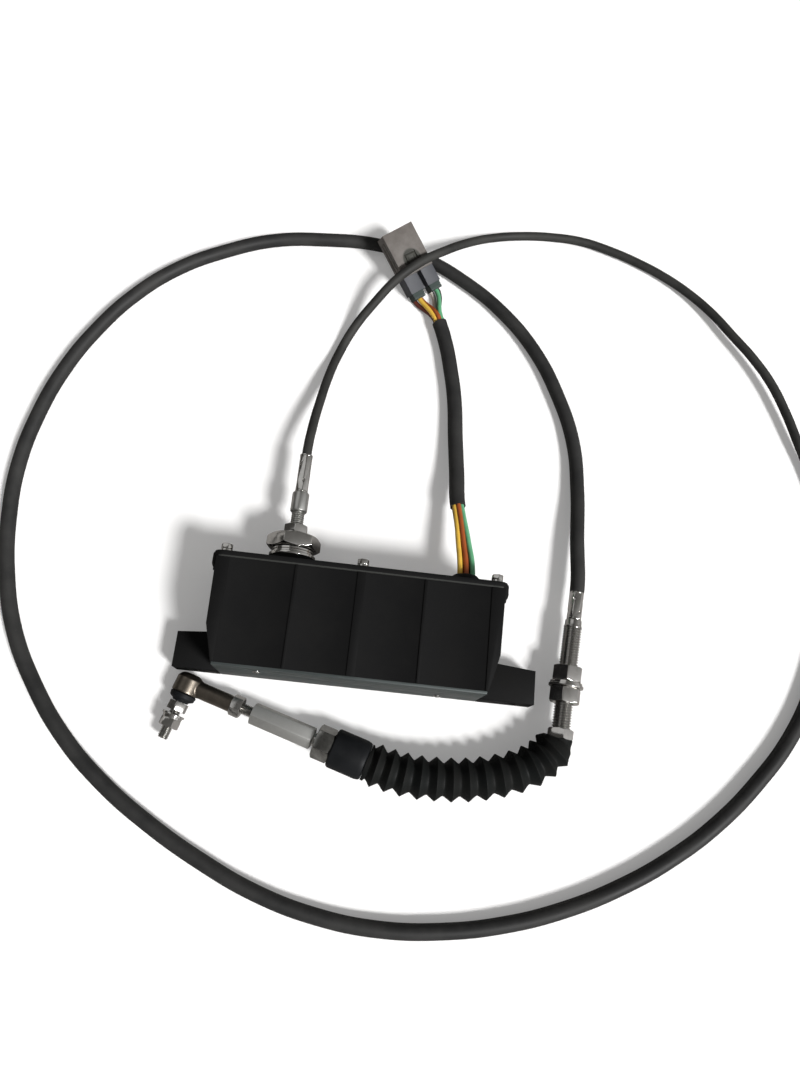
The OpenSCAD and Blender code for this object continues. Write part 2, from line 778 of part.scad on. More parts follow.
module hub_locknut() {
    color(zinc) gland_axis(hub_nut_y) hex_piece(hub_nut_af, hub_nut_h, hub_d + 2 * fit, flat_roll);
}

module cable_hub() {
    y0 = lid_y - bushing_flange_t - hub_in;
    color(steel) difference() {
        union() {
            gland_axis(y0) cylinder(h = hub_body_y - y0, d = hub_d);
            gland_axis(hub_body_y) cylinder(h = hub_body_len, d = hub_body_d);
        }
        gland_axis(y0 - overrun)
            cylinder(h = hub_ferrule_y - y0 + 2 * overrun, d = hub_bore_d);
    }
}

// Ferrule with two crimped bands
module crimped(d, len) {
    waist = 0.86 * d;
    rotate_extrude() polygon([[0, 0], [d / 2, 0], [d / 2, 0.2 * len], [waist / 2, 0.24 * len],
        [waist / 2, 0.4 * len], [d / 2, 0.44 * len], [d / 2, 0.58 * len], [waist / 2, 0.62 * len],
        [waist / 2, 0.78 * len], [d / 2, 0.82 * len], [d / 2, len], [0, len]]);
}

module hub_ferrule() {
    color(steel) gland_axis(hub_ferrule_y) crimped(hub_ferrule_d, hub_ferrule_len);
}

// Control cable
module control_cable() {
    start = [gland_x, hub_end_y, gland_z];
    n = len(cable_route);
    color(sheath) sweep(concat([start], cable_route), cable_d, cord_sides, [0, 1, 0],
        cable_route[n - 1] - cable_route[n - 2]);
}

module cable_sleeve() {
    n = len(cable_route);
    color(sheath) sweep(concat([fitting_start], sleeve_route), sleeve_d, cord_sides,
        -fitting_dir, cable_route[n - 2] - cable_route[n - 1]);
}

// Fitting at the engine end
module fitting_axis(s) {
    translate(fitting_start + s * fitting_dir) rotate([0, 90, fitting_heading]) children();
}

module engine_ferrule() {
    color(zinc) fitting_axis(0) crimped(ferrule_d, ferrule_len);
}

module threaded_tube() {
    color(steel) difference() {
        union() {
            fitting_axis(neck_s) cylinder(h = neck_len, d = neck_d);
            fitting_axis(thread_s) cylinder(h = tube_end_s - thread_s, d = tube_d);
        }
        fitting_axis(tube_end_s - tube_bore_len)
            cylinder(h = tube_bore_len + overrun, d = tube_bore_d);
    }
}

module fixing_nuts() {
    color(zinc) {
        fitting_axis(nut_one_s)
            hex_piece(fixing_nut_af, fixing_nut_h, tube_d + 2 * fit, fixing_nut_rolls[0]);
        fitting_axis(nut_two_s)
            hex_piece(fixing_nut_af, fixing_nut_h, tube_d + 2 * fit, fixing_nut_rolls[1]);
    }
}

module fixing_washers() {
    color(zinc) {
        fitting_axis(washer_s) washer(fixing_washer_d - washer_step, tube_d + hole_play, fixing_washer_t);
        fitting_axis(washer_s + fixing_washer_t)
            washer(fixing_washer_d, tube_d + hole_play, fixing_washer_t);
    }
}

module end_nut() {
    color(zinc) fitting_axis(end_nut_s) hex_piece(end_nut_af, end_nut_h, tube_d + 2 * fit, 0);
}

// Folded rubber between the fitting and the collar
bellows_middles = concat([fitting_end + mouth_len * fitting_dir],
    [for (i = [1:len(fold_points) - 1]) (fold_points[i - 1] + fold_points[i]) / 2]);
bellows_route = concat([fitting_end], [for (i = [0:len(fold_points) - 1])
    each [bellows_middles[i], fold_points[i]]],
    [(fold_points[len(fold_points) - 1] + rod_start) / 2, rod_start]);
bellows_outer = concat([mouth_d / 2], [for (i = [0:len(fold_points) - 1])
    each [i == 0 ? mouth_d / 2 : bellows_root_d / 2, bellows_d / 2]],
    [bellows_root_d / 2, bellows_root_d / 2]);

module bellows() {
    dirs = headings(bellows_route, fitting_dir, rod_dir);
    color(rubber) shell_sweep(bellows_route, dirs, bellows_outer,
        [for (r = bellows_outer) r - bellows_t], 24);
}

module core_wire() {
    route = concat([fitting_end - wire_in_tube * fitting_dir, fitting_end], fold_points,
        [rod_start - rod_back * rod_dir]);
    color(steel) sweep(route, inner_wire_d, wire_sides, fitting_dir, rod_dir);
}

// Rod, drawn along its own X, with the ball stud's axis along its own Y
module rod_frame() {
    translate(rod_start) rotate([0, rod_droop, rod_yaw]) children();
}

module rod_axis(x) {
    rod_frame() translate([x, 0, 0]) rotate([0, 90, 0]) children();
}

module bellows_collar() {
    r = collar_d / 2;
    color(rubber) rod_axis(0) difference() {
        rotate_extrude() polygon([[0, 0], [r - collar_chamfer / 2, 0], [r, collar_chamfer / 2],
            [r, collar_len - collar_chamfer], [r - collar_chamfer, collar_len], [0, collar_len]]);
        translate([0, 0, -overrun]) cylinder(h = collar_len + 2 * overrun, d = rod_d + 2 * fit);
    }
}

module pull_rod() {
    color(steel) rod_axis(-rod_back) cylinder(h = coupling_x + rod_in + rod_back, d = rod_d);
}

module collar_nut() {
    color(zinc) rod_axis(collar_nut_x)
        hex_piece(collar_nut_af, collar_nut_h, rod_d + 2 * fit, flat_roll + collar_nut_roll);
}

module hex_coupling() {
    color(zinc) difference() {
        rod_axis(coupling_x) hex_piece(coupling_af, coupling_len, 0, flat_roll + coupling_roll);
        rod_axis(coupling_x - overrun) cylinder(h = rod_in + overrun, d = rod_d + 2 * fit);
        rod_axis(coupling_end - stud_in)
            cylinder(h = stud_in + overrun, d = stud_d + 2 * fit);
    }
}

module coupling_stud() {
    color(steel) rod_axis(coupling_end - stud_in)
        cylinder(h = 2 * stud_in + stud_free + jam_nut_h, d = stud_d);
}

module jam_nut() {
    color(steel) rod_axis(jam_nut_x) hex_piece(jam_nut_af, jam_nut_h, stud_d + 2 * fit,
        flat_roll + jam_nut_roll);
}

// Turns a shape so that its own Z runs along the ball stud
module stud_axis(s) {
    rod_frame() translate([ball_x, s, 0]) rotate([-90, 0, 0]) children();
}

module ball_housing() {
    r = head_d / 2;
    relief_r = sqrt(pow(ball_d / 2 + fit, 2) - pow(socket_open, 2));
    color(steel) difference() {
        union() {
            rod_axis(shank_x) cylinder(h = ball_x - 0.35 * head_d - shank_x, d = shank_d);
            stud_axis(0) rotate_extrude() polygon([[0, -head_back], [0.6 * r, -head_back],
                [0.8 * r, -0.9 * head_back], [r, -0.55 * head_back], [r, head_front],
                [0, head_front]]);
        }
        rod_axis(shank_x - overrun) cylinder(h = stud_in + 2 * overrun, d = stud_d + 2 * fit);
        stud_axis(0) sphere(d = ball_d + 2 * fit, $fn = 64);
        stud_axis(relief_start) cylinder(h = head_front - relief_start + overrun,
            r1 = relief_r - (socket_open - relief_start) * relief_slope,
            r2 = relief_r + (head_front - socket_open + overrun) * relief_slope);
    }
}

module ball_stud() {
    color(steel) union() {
        stud_axis(0) sphere(d = ball_d, $fn = 64);
        stud_axis(0) cylinder(h = stud_hex_start + overrun, d = ball_neck_d);
        stud_axis(stud_hex_start) hex_piece(stud_hex_af, stud_hex_h, 0, 0);
        stud_axis(stud_hex_start) cylinder(h = lead_y - stud_hex_start, d = ball_stud_d);
        stud_axis(lead_y - overrun)
            cylinder(h = ball_stud_len - lead_y + overrun, d = ball_stud_d - 2 * lead_step);
    }
}

module dust_boot() {
    h = boot_end - boot_start;
    color(rubber) stud_axis(boot_start) rotate_extrude() polygon([
        [boot_d / 2 - boot_t, 0], [boot_d / 2, 0], [boot_d / 2, 0.3 * h],
        [boot_small_d / 2, h], [ball_neck_d / 2 + fit, h],
        [ball_neck_d / 2 + fit, h - boot_t], [boot_small_d / 2 - boot_t / 2, h - boot_t],
        [boot_d / 2 - boot_t, 0.3 * h]]);
}

module stud_washers() {
    color(zinc) {
        stud_axis(stud_washer_y)
            washer(stud_washer_d, ball_stud_d + 2 * running, stud_washer_t[0]);
        stud_axis(stud_washer_y + stud_washer_t[0])
            washer(stud_washer_d - washer_step, ball_stud_d + 2 * running, stud_washer_t[1]);
    }
}

module stud_nut() {
    color(zinc) stud_axis(stud_nut_y)
        hex_piece(stud_hex_af, stud_nut_h, ball_stud_d + 2 * fit, 0);
}

// Harness
function wire_at(i, y) = [grommet_x + wire_columns[i] * wire_pitch, y,
    grommet_z + wire_rows[i] * wire_row / 2];

// Place of a wire in its ring round the axis of the black sleeve
function wire_in_sleeve(i, c, t) = let (s = unit(cross([0, 0, 1], t)), u = cross(t, s))
    c + wire_ring_r * (-cos(wire_angles[i]) * s + sin(wire_angles[i]) * u);

function connector_dir() = [cos(connector_pitch) * cos(connector_yaw),
    cos(connector_pitch) * sin(connector_yaw), sin(connector_pitch)];

function connector_point(x, y, z) = let (
    side = [-sin(connector_yaw), cos(connector_yaw), 0], ahead = connector_dir(),
    up = cross(ahead, side))
    connector_at + x * ahead + y * side + z * up;

module grommet() {
    outer = grommet_d / 2;
    neck = grommet_neck_d / 2;
    color(rubber) difference() {
        translate([grommet_x, 0, grommet_z]) grow_y(lid_y) rotate_extrude()
            polygon([[0, -gasket_t - grommet_tail], [neck - grommet_lip, -gasket_t - grommet_tail],
                [neck + grommet_lip, -grommet_lip_h], [neck + grommet_lip, 0], [neck, 0],
                [neck, lid_t], [outer, lid_t], [outer, lid_t + grommet_rim_h],
                [0.86 * outer, lid_t + 0.6 * grommet_dome],
                [0.82 * outer, lid_t + grommet_dome], [0, lid_t + grommet_dome]]);
        for (i = [0:5]) translate([wire_at(i, 0)[0], 0, wire_at(i, 0)[2]])
            grow_y(lid_y - grommet_bore_back) cylinder(
                h = lid_t + grommet_dome + grommet_bore_back + overrun, d = grommet_hole_d);
    }
}

module wire(i, tint) {
    start = harness_route[0];
    n = len(harness_route);
    end = harness_route[n - 1];
    t0 = unit(harness_start_dir);
    t1 = unit(harness_end_dir);
    spot = seat_shares[wire_seats[i]];
    goal = connector_point(-seal_len, spot[0] * lobe_y + spot[1] * wire_spread,
        spot[2] * connector_h);
    into = wire_in_sleeve(i, start, t0);
    out = wire_in_sleeve(i, end, t1);
    out_y = lid_top_y + grommet_dome + wire_out_y;
    gap = norm(goal - out);
    flat = unit([connector_dir()[0], connector_dir()[1], wire_rise_share]);
    color(tint) {
        sweep([wire_at(i, wire_start_y), wire_at(i, out_y - wire_out_y / 2),
            wire_at(i, out_y) * 0.62 + into * 0.38, into - wire_straight * t0, into],
            wire_d, wire_sides, [0, 1, 0], t0);
        sweep([out, out + wire_lead_share * gap * t1, goal - wire_end_share * gap * flat, goal],
            wire_d, wire_sides, t1, connector_dir());
    }
}

module wire_yellow() { wire(0, "#d8b51f"); }
module wire_orange() { wire(1, "#c9622c"); }
module wire_green() { wire(2, "#3f9a6a"); }
module wire_brown() { wire(3, "#7c3a2d"); }
module wire_white() { wire(4, "#d9d6cf"); }
module wire_black() { wire(5, "#2a2a2a"); }

module harness_sleeve() {
    color(rubber) sweep(harness_route, harness_d, cord_sides, harness_start_dir,
        harness_end_dir);
}

// Connector, drawn along its own X from its rear to its mating mouth
module connector_frame() {
    translate(connector_at) rotate([0, -connector_pitch, connector_yaw]) children();
}

// Outline of one wire seal, drawn across the connector's own X
module seal_outline(play) {
    w = seal_share * lobe_w + 2 * play;
    top = seal_share * lobe_h + play;
    rotate([90, 0, 90]) linear_extrude(seal_len + seal_in)
        round_rect(-w / 2, w / 2, (1 - seal_share) * lobe_h - play, top, w / 4);
}

module connector_body() {
    latch_w = 0.36 * connector_w;
    color(connector_grey) connector_frame() difference() {
        union() {
            translate([lobe_len, -connector_w / 2, 0])
                cube([connector_len, connector_w, connector_h]);
            for (side = [-1, 1]) translate([0, side * lobe_y - lobe_w / 2, 0])
                cube([lobe_len + overrun, lobe_w, lobe_h]);
            translate([0, -connector_w / 2 + lobe_w / 2, 0])
                cube([lobe_len + overrun, connector_w - lobe_w, 0.45 * connector_h]);
        }
        translate([lobe_len + connector_len - connector_mouth, -connector_w / 2 + connector_wall,
            connector_wall]) cube([connector_mouth + overrun, connector_w - 2 * connector_wall,
            connector_h - 2 * connector_wall]);
        translate([lobe_len + latch_gap, -latch_w / 2, connector_h - latch_depth])
            cube([0.4 * connector_len, latch_w, latch_depth + overrun]);
        for (side = [-1, 1]) translate([-seal_len, side * lobe_y, 0]) seal_outline(fit);
    }
}

module wire_seals() {
    color("#4d5f5a") connector_frame() for (side = [-1, 1])
        translate([-seal_len, side * lobe_y, 0]) seal_outline(0);
}

module contacts() {
    x = lobe_len + connector_len - connector_mouth;
    color(brass) connector_frame() for (k = [-1, 0, 1], row = [0.35, 0.65])
        translate([x, k * contact_pitch - contact_w / 2, row * connector_h - contact_w / 2])
            cube([0.6 * connector_mouth, contact_w, contact_w]);
}

module terminal_board() {
    z = wall + board_post_h;
    block_z = z + board_t;
    color("#2f5c45") {
        translate([grommet_x - board_size[0] / 2, board_y - board_size[1] / 2, z])
            cube([board_size[0], board_size[1], board_t]);
        translate([grommet_x - block_size[0] / 2, wire_start_y - block_size[1], block_z])
            cube([block_size[0], block_size[1],
                grommet_z + wire_row / 2 + block_above - block_z]);
    }
}

// Drive inside the box
module spur(m, teeth, h, phase) {
    rp = m * teeth / 2;
    ra = rp + 0.8 * m;
    rr = rp - 1.05 * m;
    half = 0.88 * PI * m / 4;
    lean = tan(20);
    top = (half - 0.8 * m * lean) / ra * 180 / PI;
    root = (half + 1.05 * m * lean) / rr * 180 / PI;
    linear_extrude(h) polygon([for (i = [0:teeth - 1]) let (a = 360 * i / teeth + phase)
        each [[rr * cos(a - root), rr * sin(a - root)], [ra * cos(a - top), ra * sin(a - top)],
            [ra * cos(a + top), ra * sin(a + top)], [rr * cos(a + root), rr * sin(a + root)]]]);
}

module at_output(z) { translate([output_x, 0, z]) children(); }
module at_middle(z) { translate([middle_x, 0, z]) children(); }
module at_motor(z) { translate([motor_x, 0, z]) children(); }

module motor_can() {
    color(steel) difference() {
        at_motor(motor_z) cylinder(h = motor_len, d = motor_d);
        at_motor(motor_z - overrun) cylinder(h = motor_len - motor_can_t + overrun,
            d = motor_d - 2 * motor_can_t);
        at_motor(motor_z) cylinder(h = motor_len + overrun, d = motor_shaft_d + 2 * running);
    }
}

module motor_cap() {
    color("#35383a") difference() {
        union() {
            at_motor(motor_z - motor_cap_t) cylinder(h = motor_cap_t, d = motor_d);
            at_motor(motor_z) cylinder(h = motor_cap_t, d = motor_d - 2 * motor_can_t - 2 * fit);
        }
        at_motor(motor_z - motor_cap_t / 2) cylinder(h = 2 * motor_cap_t,
            d = motor_shaft_d + 2 * running);
    }
}

module rotor() {
    z0 = motor_z - 0.4 * motor_cap_t;
    color(steel) {
        at_motor(z0) cylinder(h = wheel_top - z0, d = motor_shaft_d);
        at_motor(motor_z + arm_below_share * (motor_len - motor_can_t))
            cylinder(h = arm_share * (motor_len - motor_can_t), d = 0.76 * motor_d);
        at_motor(wheel_z) spur(fine_module, pinion_teeth, wheel_w + gear_gap, 0);
    }
}

module idler_pin() {
    color(steel) at_middle(plate_z) cylinder(h = wheel_top - plate_z, d = idler_d);
}

module middle_gear() {
    color(brass) difference() {
        union() {
            at_middle(gear_z) spur(gear_module, pinion_teeth, wheel_z - gear_z + wheel_w / 2,
                180 / pinion_teeth);
            at_middle(wheel_z) spur(fine_module, wheel_teeth, wheel_w, 180 / wheel_teeth);
        }
        at_middle(gear_z - overrun) cylinder(h = wheel_top - gear_z + overrun,
            d = idler_d + 2 * fit);
    }
}

module output_gear() {
    z0 = wall + running;
    color(brass) {
        at_output(z0) cylinder(h = shaft_top_z - z0, d = shaft_d);
        at_output(gear_z) spur(gear_module, output_teeth, output_gear_w, 0);
    }
}

module lever() {
    color(zinc) difference() {
        union() {
            at_output(lever_z - lever_hub_h) cylinder(h = lever_t + lever_hub_h, r = hub_r);
            translate([output_x - lever_r, -lever_w / 2, lever_z])
                cube([lever_r, lever_w, lever_t]);
            translate([output_x - lever_r, 0, lever_z]) cylinder(h = lever_t, d = lever_w);
        }
        at_output(lever_z - lever_hub_h - overrun) cylinder(h = lever_t + lever_hub_h + 2 * overrun,
            d = shaft_d + 2 * fit);
        translate([output_x - lever_r, 0, lever_z - overrun])
            cylinder(h = lever_t + 2 * overrun, d = pin_d + 2 * fit);
    }
}

module lever_pin() {
    color(brass) translate([gland_x, 0, lever_z])
        cylinder(h = gland_z + inner_wire_d / 2 + pin_above - lever_z, d = pin_d);
}

module pull_wire() {
    y0 = pin_d / 2 + fit;
    color(steel) gland_axis(y0)
        cylinder(h = lid_y - bushing_flange_t - hub_in + wire_in_hub - y0, d = inner_wire_d);
}

module gear_plate() {
    x0 = output_x - shaft_d / 2 - plate_edge;
    x1 = motor_x + motor_d / 2 + plate_edge;
    color(steel) difference() {
        translate([x0, -plate_half, plate_z]) cube([x1 - x0, 2 * plate_half, gear_plate_t]);
        for (p = post_spots) translate([p[0], p[1], plate_z - overrun])
            cylinder(h = gear_plate_t + 2 * overrun, d = post_screw_d + hole_play);
        at_output(plate_z - overrun) cylinder(h = gear_plate_t + 2 * overrun,
            d = shaft_d + 2 * bush_t + 2 * fit);
        at_middle(plate_z - overrun) cylinder(h = gear_plate_t + 2 * overrun,
            d = idler_d + 2 * fit);
        at_motor(plate_z - overrun) cylinder(h = gear_plate_t + 2 * overrun,
            d = 2.5 * motor_shaft_d);
    }
}

module plate_screws() {
    color(zinc) for (p = post_spots) translate([p[0], p[1], plate_z + gear_plate_t]) {
        cylinder(h = 0.6 * post_screw_d, d = 2 * post_screw_d);
        translate([0, 0, -gear_plate_t - plate_screw_in])
            cylinder(h = gear_plate_t + plate_screw_in, d = post_screw_d);
    }
}

module bushes() {
    color(brass) {
        at_output(wall) washer(shaft_d + 2 * bush_t, shaft_d + 2 * running, bush_h);
        at_output(plate_z - bush_below)
            washer(shaft_d + 2 * bush_t, shaft_d + 2 * running, gear_plate_t + bush_below);
    }
}

module position_sensor() {
    color("#35383a") at_output(wall) washer(sensor_d, 2 * collar_r + 2 * fit, sensor_h);
}

housing();
base_plate();
base_screws();
lid();
lid_gasket();
lid_washers();
lid_screws();
gland_bushing();
gland_washers();
gland_nut();
hub_locknut();
cable_hub();
hub_ferrule();
control_cable();
cable_sleeve();
engine_ferrule();
threaded_tube();
fixing_nuts();
fixing_washers();
end_nut();
bellows();
core_wire();
bellows_collar();
pull_rod();
collar_nut();
hex_coupling();
coupling_stud();
jam_nut();
ball_housing();
ball_stud();
dust_boot();
stud_washers();
stud_nut();
grommet();
wire_yellow();
wire_orange();
wire_green();
wire_brown();
wire_white();
wire_black();
harness_sleeve();
connector_body();
wire_seals();
contacts();
terminal_board();
motor_can();
motor_cap();
rotor();
middle_gear();
idler_pin();
output_gear();
lever();
lever_pin();
pull_wire();
gear_plate();
plate_screws();
bushes();
position_sensor();
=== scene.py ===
# Engine governor actuator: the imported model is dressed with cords, threads, folds and finishes.
# Sizes are in millimetres and become metres through mm.
import json
import math

import bpy
from mathutils import Matrix, Vector


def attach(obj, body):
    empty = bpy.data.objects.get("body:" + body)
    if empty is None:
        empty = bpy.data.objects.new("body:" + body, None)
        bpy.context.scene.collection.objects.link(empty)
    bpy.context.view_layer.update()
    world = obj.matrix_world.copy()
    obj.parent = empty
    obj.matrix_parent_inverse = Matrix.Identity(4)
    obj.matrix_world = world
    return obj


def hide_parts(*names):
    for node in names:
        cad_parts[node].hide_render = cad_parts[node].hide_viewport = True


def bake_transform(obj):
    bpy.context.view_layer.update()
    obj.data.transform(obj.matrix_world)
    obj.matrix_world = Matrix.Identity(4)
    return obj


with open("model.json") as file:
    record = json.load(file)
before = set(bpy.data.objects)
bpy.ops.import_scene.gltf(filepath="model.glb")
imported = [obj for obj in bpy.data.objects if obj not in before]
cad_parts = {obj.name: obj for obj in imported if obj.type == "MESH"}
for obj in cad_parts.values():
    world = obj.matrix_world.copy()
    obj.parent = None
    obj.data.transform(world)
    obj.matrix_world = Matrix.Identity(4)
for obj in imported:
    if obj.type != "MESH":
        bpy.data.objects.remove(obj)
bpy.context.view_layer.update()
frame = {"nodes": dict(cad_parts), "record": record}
mm = 0.001
print("frame loaded:", len(frame["nodes"]), "nodes")


# Picking and placing

def deselectAll():
    active = bpy.context.view_layer.objects.active
    if active is not None and active.mode != 'OBJECT':
        bpy.ops.object.mode_set(mode='OBJECT')
    bpy.ops.object.select_all(action='DESELECT')


def makeActive(piece):
    deselectAll()
    piece.select_set(True)
    bpy.context.view_layer.objects.active = piece


def editAll(piece):
    makeActive(piece)
    bpy.ops.object.mode_set(mode='EDIT')
    bpy.ops.mesh.select_mode(type='VERT')
    bpy.ops.mesh.select_all(action='SELECT')


def editFaces(piece, wanted):
    # wanted(middle, normal) says whether a face is picked
    makeActive(piece)
    bpy.ops.object.mode_set(mode='EDIT')
    bpy.ops.mesh.select_mode(type='FACE')
    bpy.ops.mesh.select_all(action='DESELECT')
    bpy.ops.object.mode_set(mode='OBJECT')
    for face in piece.data.polygons:
        face.select = wanted(face.center, face.normal)
    bpy.ops.object.mode_set(mode='EDIT')


def editPoints(piece, wanted):
    # wanted(place) says whether a vertex is picked
    makeActive(piece)
    bpy.ops.object.mode_set(mode='EDIT')
    bpy.ops.mesh.select_mode(type='VERT')
    bpy.ops.mesh.select_all(action='DESELECT')
    bpy.ops.object.mode_set(mode='OBJECT')
    for point in piece.data.vertices:
        point.select = wanted(point.co)
    bpy.ops.object.mode_set(mode='EDIT')


def leaveEdit():
    bpy.ops.object.mode_set(mode='OBJECT')


def mendNormals(piece):
    editAll(piece)
    bpy.ops.mesh.remove_doubles(threshold=0.0005 * mm)
    bpy.ops.mesh.normals_make_consistent(inside=False)
    leaveEdit()


def applyModifier(piece, kind, **settings):
    makeActive(piece)
    modifier = piece.modifiers.new(kind.title(), kind)
    for key, value in settings.items():
        setattr(modifier, key, value)
    bpy.ops.object.modifier_apply(modifier=modifier.name)


def softEdges(piece, width, segments=2, sharp=32):
    applyModifier(piece, 'BEVEL', width=width * mm, segments=segments, limit_method='ANGLE',
                  angle_limit=math.radians(sharp), harden_normals=False)


def smoothBy(piece, degrees=35):
    makeActive(piece)
    bpy.ops.object.shade_smooth_by_angle(angle=math.radians(degrees))


def placeAt(piece, matrix):
    # moves a piece that was made round its own Z into the frame, its object left at the origin
    makeActive(piece)
    piece.matrix_world = matrix
    bpy.ops.object.transform_apply(location=True, rotation=True, scale=True)
    return piece


def joined(pieces, name):
    makeActive(pieces[0])
    for piece in pieces[1:]:
        piece.select_set(True)
    bpy.ops.object.join()
    pieces[0].name = name
    return pieces[0]


def copyOf(piece, name):
    twin = bpy.data.objects.new(name, piece.data.copy())
    bpy.context.scene.collection.objects.link(twin)
    return twin


def plainName(node):
    first, *others = node.split("_")
    return first + "".join(part.title() for part in others) + "Dressed"


def dressed(node, name, width, sharp=32, segments=2, smooth=35):
    # a merged copy of a CAD node with its edges rounded
    piece = bpy.data.objects.new(name, frame["nodes"][node].data.copy())
    bpy.context.scene.collection.objects.link(piece)
    editAll(piece)
    bpy.ops.mesh.remove_doubles(threshold=0.001 * mm)
    bpy.ops.mesh.dissolve_limited(angle_limit=math.radians(0.8))
    leaveEdit()
    if width > 0:
        softEdges(piece, width, segments, sharp)
    smoothBy(piece, smooth)
    return piece


# Places that more than one piece needs

def unit(v):
    return Vector(v).normalized()


def axes(origin, along, side):
    # a place whose own Z runs along and whose own X runs to the side
    z = unit(along)
    x = unit(Vector(side) - z * z.dot(Vector(side)))
    y = z.cross(x)
    turn = Matrix((x, y, z)).transposed().to_4x4()
    return Matrix.Translation(Vector(origin) * mm) @ turn


box = {"lidTop": 40.75, "glandX": -54, "glandZ": 28, "grommetX": 78.5, "screwX": 99.5,
       "screwLow": 7.5, "screwHigh": 49, "baseY": -40.75}
engine = {"end": Vector((159.4, -63.1, 15.5)), "heading": -94.7, "length": 113.5}
rod = {"start": Vector((19, -93.5, 15.5)), "yaw": 163.2, "ball": 142.8, "headRadius": 9.8,
       "floorGap": 0.1}

engineDir = Vector((math.cos(math.radians(engine["heading"])),
                    math.sin(math.radians(engine["heading"])), 0))
engineStart = engine["end"] - engine["length"] * engineDir
rodDroop = math.asin((rod["start"].z - rod["headRadius"] - rod["floorGap"]) / rod["ball"])
rodTurn = Matrix.Rotation(math.radians(rod["yaw"]), 4, 'Z') @ Matrix.Rotation(rodDroop, 4, 'Y')
rodDir = rodTurn @ Vector((1, 0, 0))
studDir = rodTurn @ Vector((0, 1, 0))
ballCentre = rod["start"] + rod["ball"] * rodDir


def glandAt(y):
    return axes((box["glandX"], y, box["glandZ"]), (0, 1, 0), (1, 0, 0))


def engineAt(station):
    return axes(engineStart + station * engineDir, engineDir, (0, 0, 1))


def rodAt(station):
    return axes(rod["start"] + station * rodDir, rodDir, rodTurn @ Vector((0, 0, 1)))


def studAt(station):
    return axes(ballCentre + station * studDir, studDir, rodDir)


# Camera

cameraSet = {"place": (-0.00083, -0.10681, 0.61668), "lean": 17.521, "swing": -8.138,
             "roll": 14.425, "lens": 36.045, "sensor": 36}
cameraData = bpy.data.cameras.new("camera")
camera = bpy.data.objects.new("camera", cameraData)
bpy.context.scene.collection.objects.link(camera)
cameraData.sensor_fit = 'HORIZONTAL'
cameraData.sensor_width = cameraSet["sensor"]
cameraData.lens = cameraSet["lens"]
cameraData.clip_start = 0.01
camera.matrix_world = (Matrix.Translation(cameraSet["place"])
                       @ Matrix.Rotation(math.radians(cameraSet["swing"]), 4, 'Z')
                       @ Matrix.Rotation(math.radians(cameraSet["lean"]), 4, 'X')
                       @ Matrix.Rotation(math.radians(cameraSet["roll"]), 4, 'Z'))
bpy.context.scene.camera = camera
bpy.context.scene.view_settings.view_transform = 'Standard'


# Cords: routes in millimetres, the same points as in the part's source

cableRoute = [(-53, 159.5, 23), (-50.5, 186, 16), (-47, 212.5, 9.5), (-41, 239, 4.5),
              (-30.5, 264, 8), (-16, 283.5, 18.5), (0.5, 303, 27.5), (20, 322, 30),
              (39, 339, 25.5), (60, 357.5, 16.5), (84, 373, 8), (110.5, 382, 4), (138, 385, 4),
              (165.5, 384.5, 4), (192.5, 378.5, 4), (218.5, 369.5, 4), (243.5, 357.5, 4.5),
              (266.5, 342, 5.5), (286.5, 323, 7.5), (304, 302, 9), (321.5, 281, 10),
              (337, 258, 10), (349, 233, 9), (359, 207.5, 7.5), (369, 181.5, 6), (377, 155, 6),
              (381.5, 128, 5.8)]
sleeveRoute = [(168.5, 94.5, 11.8), (168.5, 138.5, 7.2), (163.5, 182.5, 5.8),
               (148.5, 224.5, 5.8), (127, 263.5, 5.8), (97.5, 297, 5.8), (62, 323.5, 5.8),
               (22, 343, 5.8), (-21.5, 351, 5.8), (-66, 349, 5.8), (-110, 341.5, 5.8),
               (-151, 324, 5.8), (-188.5, 300.5, 5.8), (-220, 269, 5.8), (-244.5, 232, 5.8),
               (-263, 191.5, 5.8), (-274.5, 148.5, 5.8), (-279.5, 104.5, 5.8),
               (-276.5, 60, 5.8), (-267.5, 16.5, 5.8), (-252, -25.5, 5.8), (-228.5, -63.5, 5.8),
               (-200, -97.5, 5.8), (-166, -126.5, 5.8), (-128.5, -150.5, 5.8), (-89, -171, 5.8),
               (-48, -188, 5.8), (-5, -199, 5.8), (39.5, -203.5, 5.8), (84, -201, 5.8),
               (127.5, -193, 5.8), (170, -179.5, 5.8), (210.5, -161, 5.8), (248.5, -138, 5.8),
               (283.5, -110.5, 5.8), (314.5, -78.5, 5.8), (341.5, -43, 5.8), (361.5, -3, 5.8),
               (374, 39.5, 5.8), (380.5, 83.5, 5.8), (381.5, 128, 5.8)]
harnessRoute = [(69.6, 108, 18.5), (67, 140, 12), (64, 172, 7.9), (60.5, 207.5, 6.8),
                (55, 235.5, 6.8), (49, 259, 6.8), (41.5, 279, 7.6)]
foldRoute = [(153.5, -71.8), (147, -78.2), (138.5, -84.2), (127.5, -89.4), (116, -93.3),
             (104, -96.4), (92.5, -98.5), (81, -99.7), (69.5, -100.2), (58, -100.2),
             (46.5, -99.3), (36, -97.6), (26, -95.3)]


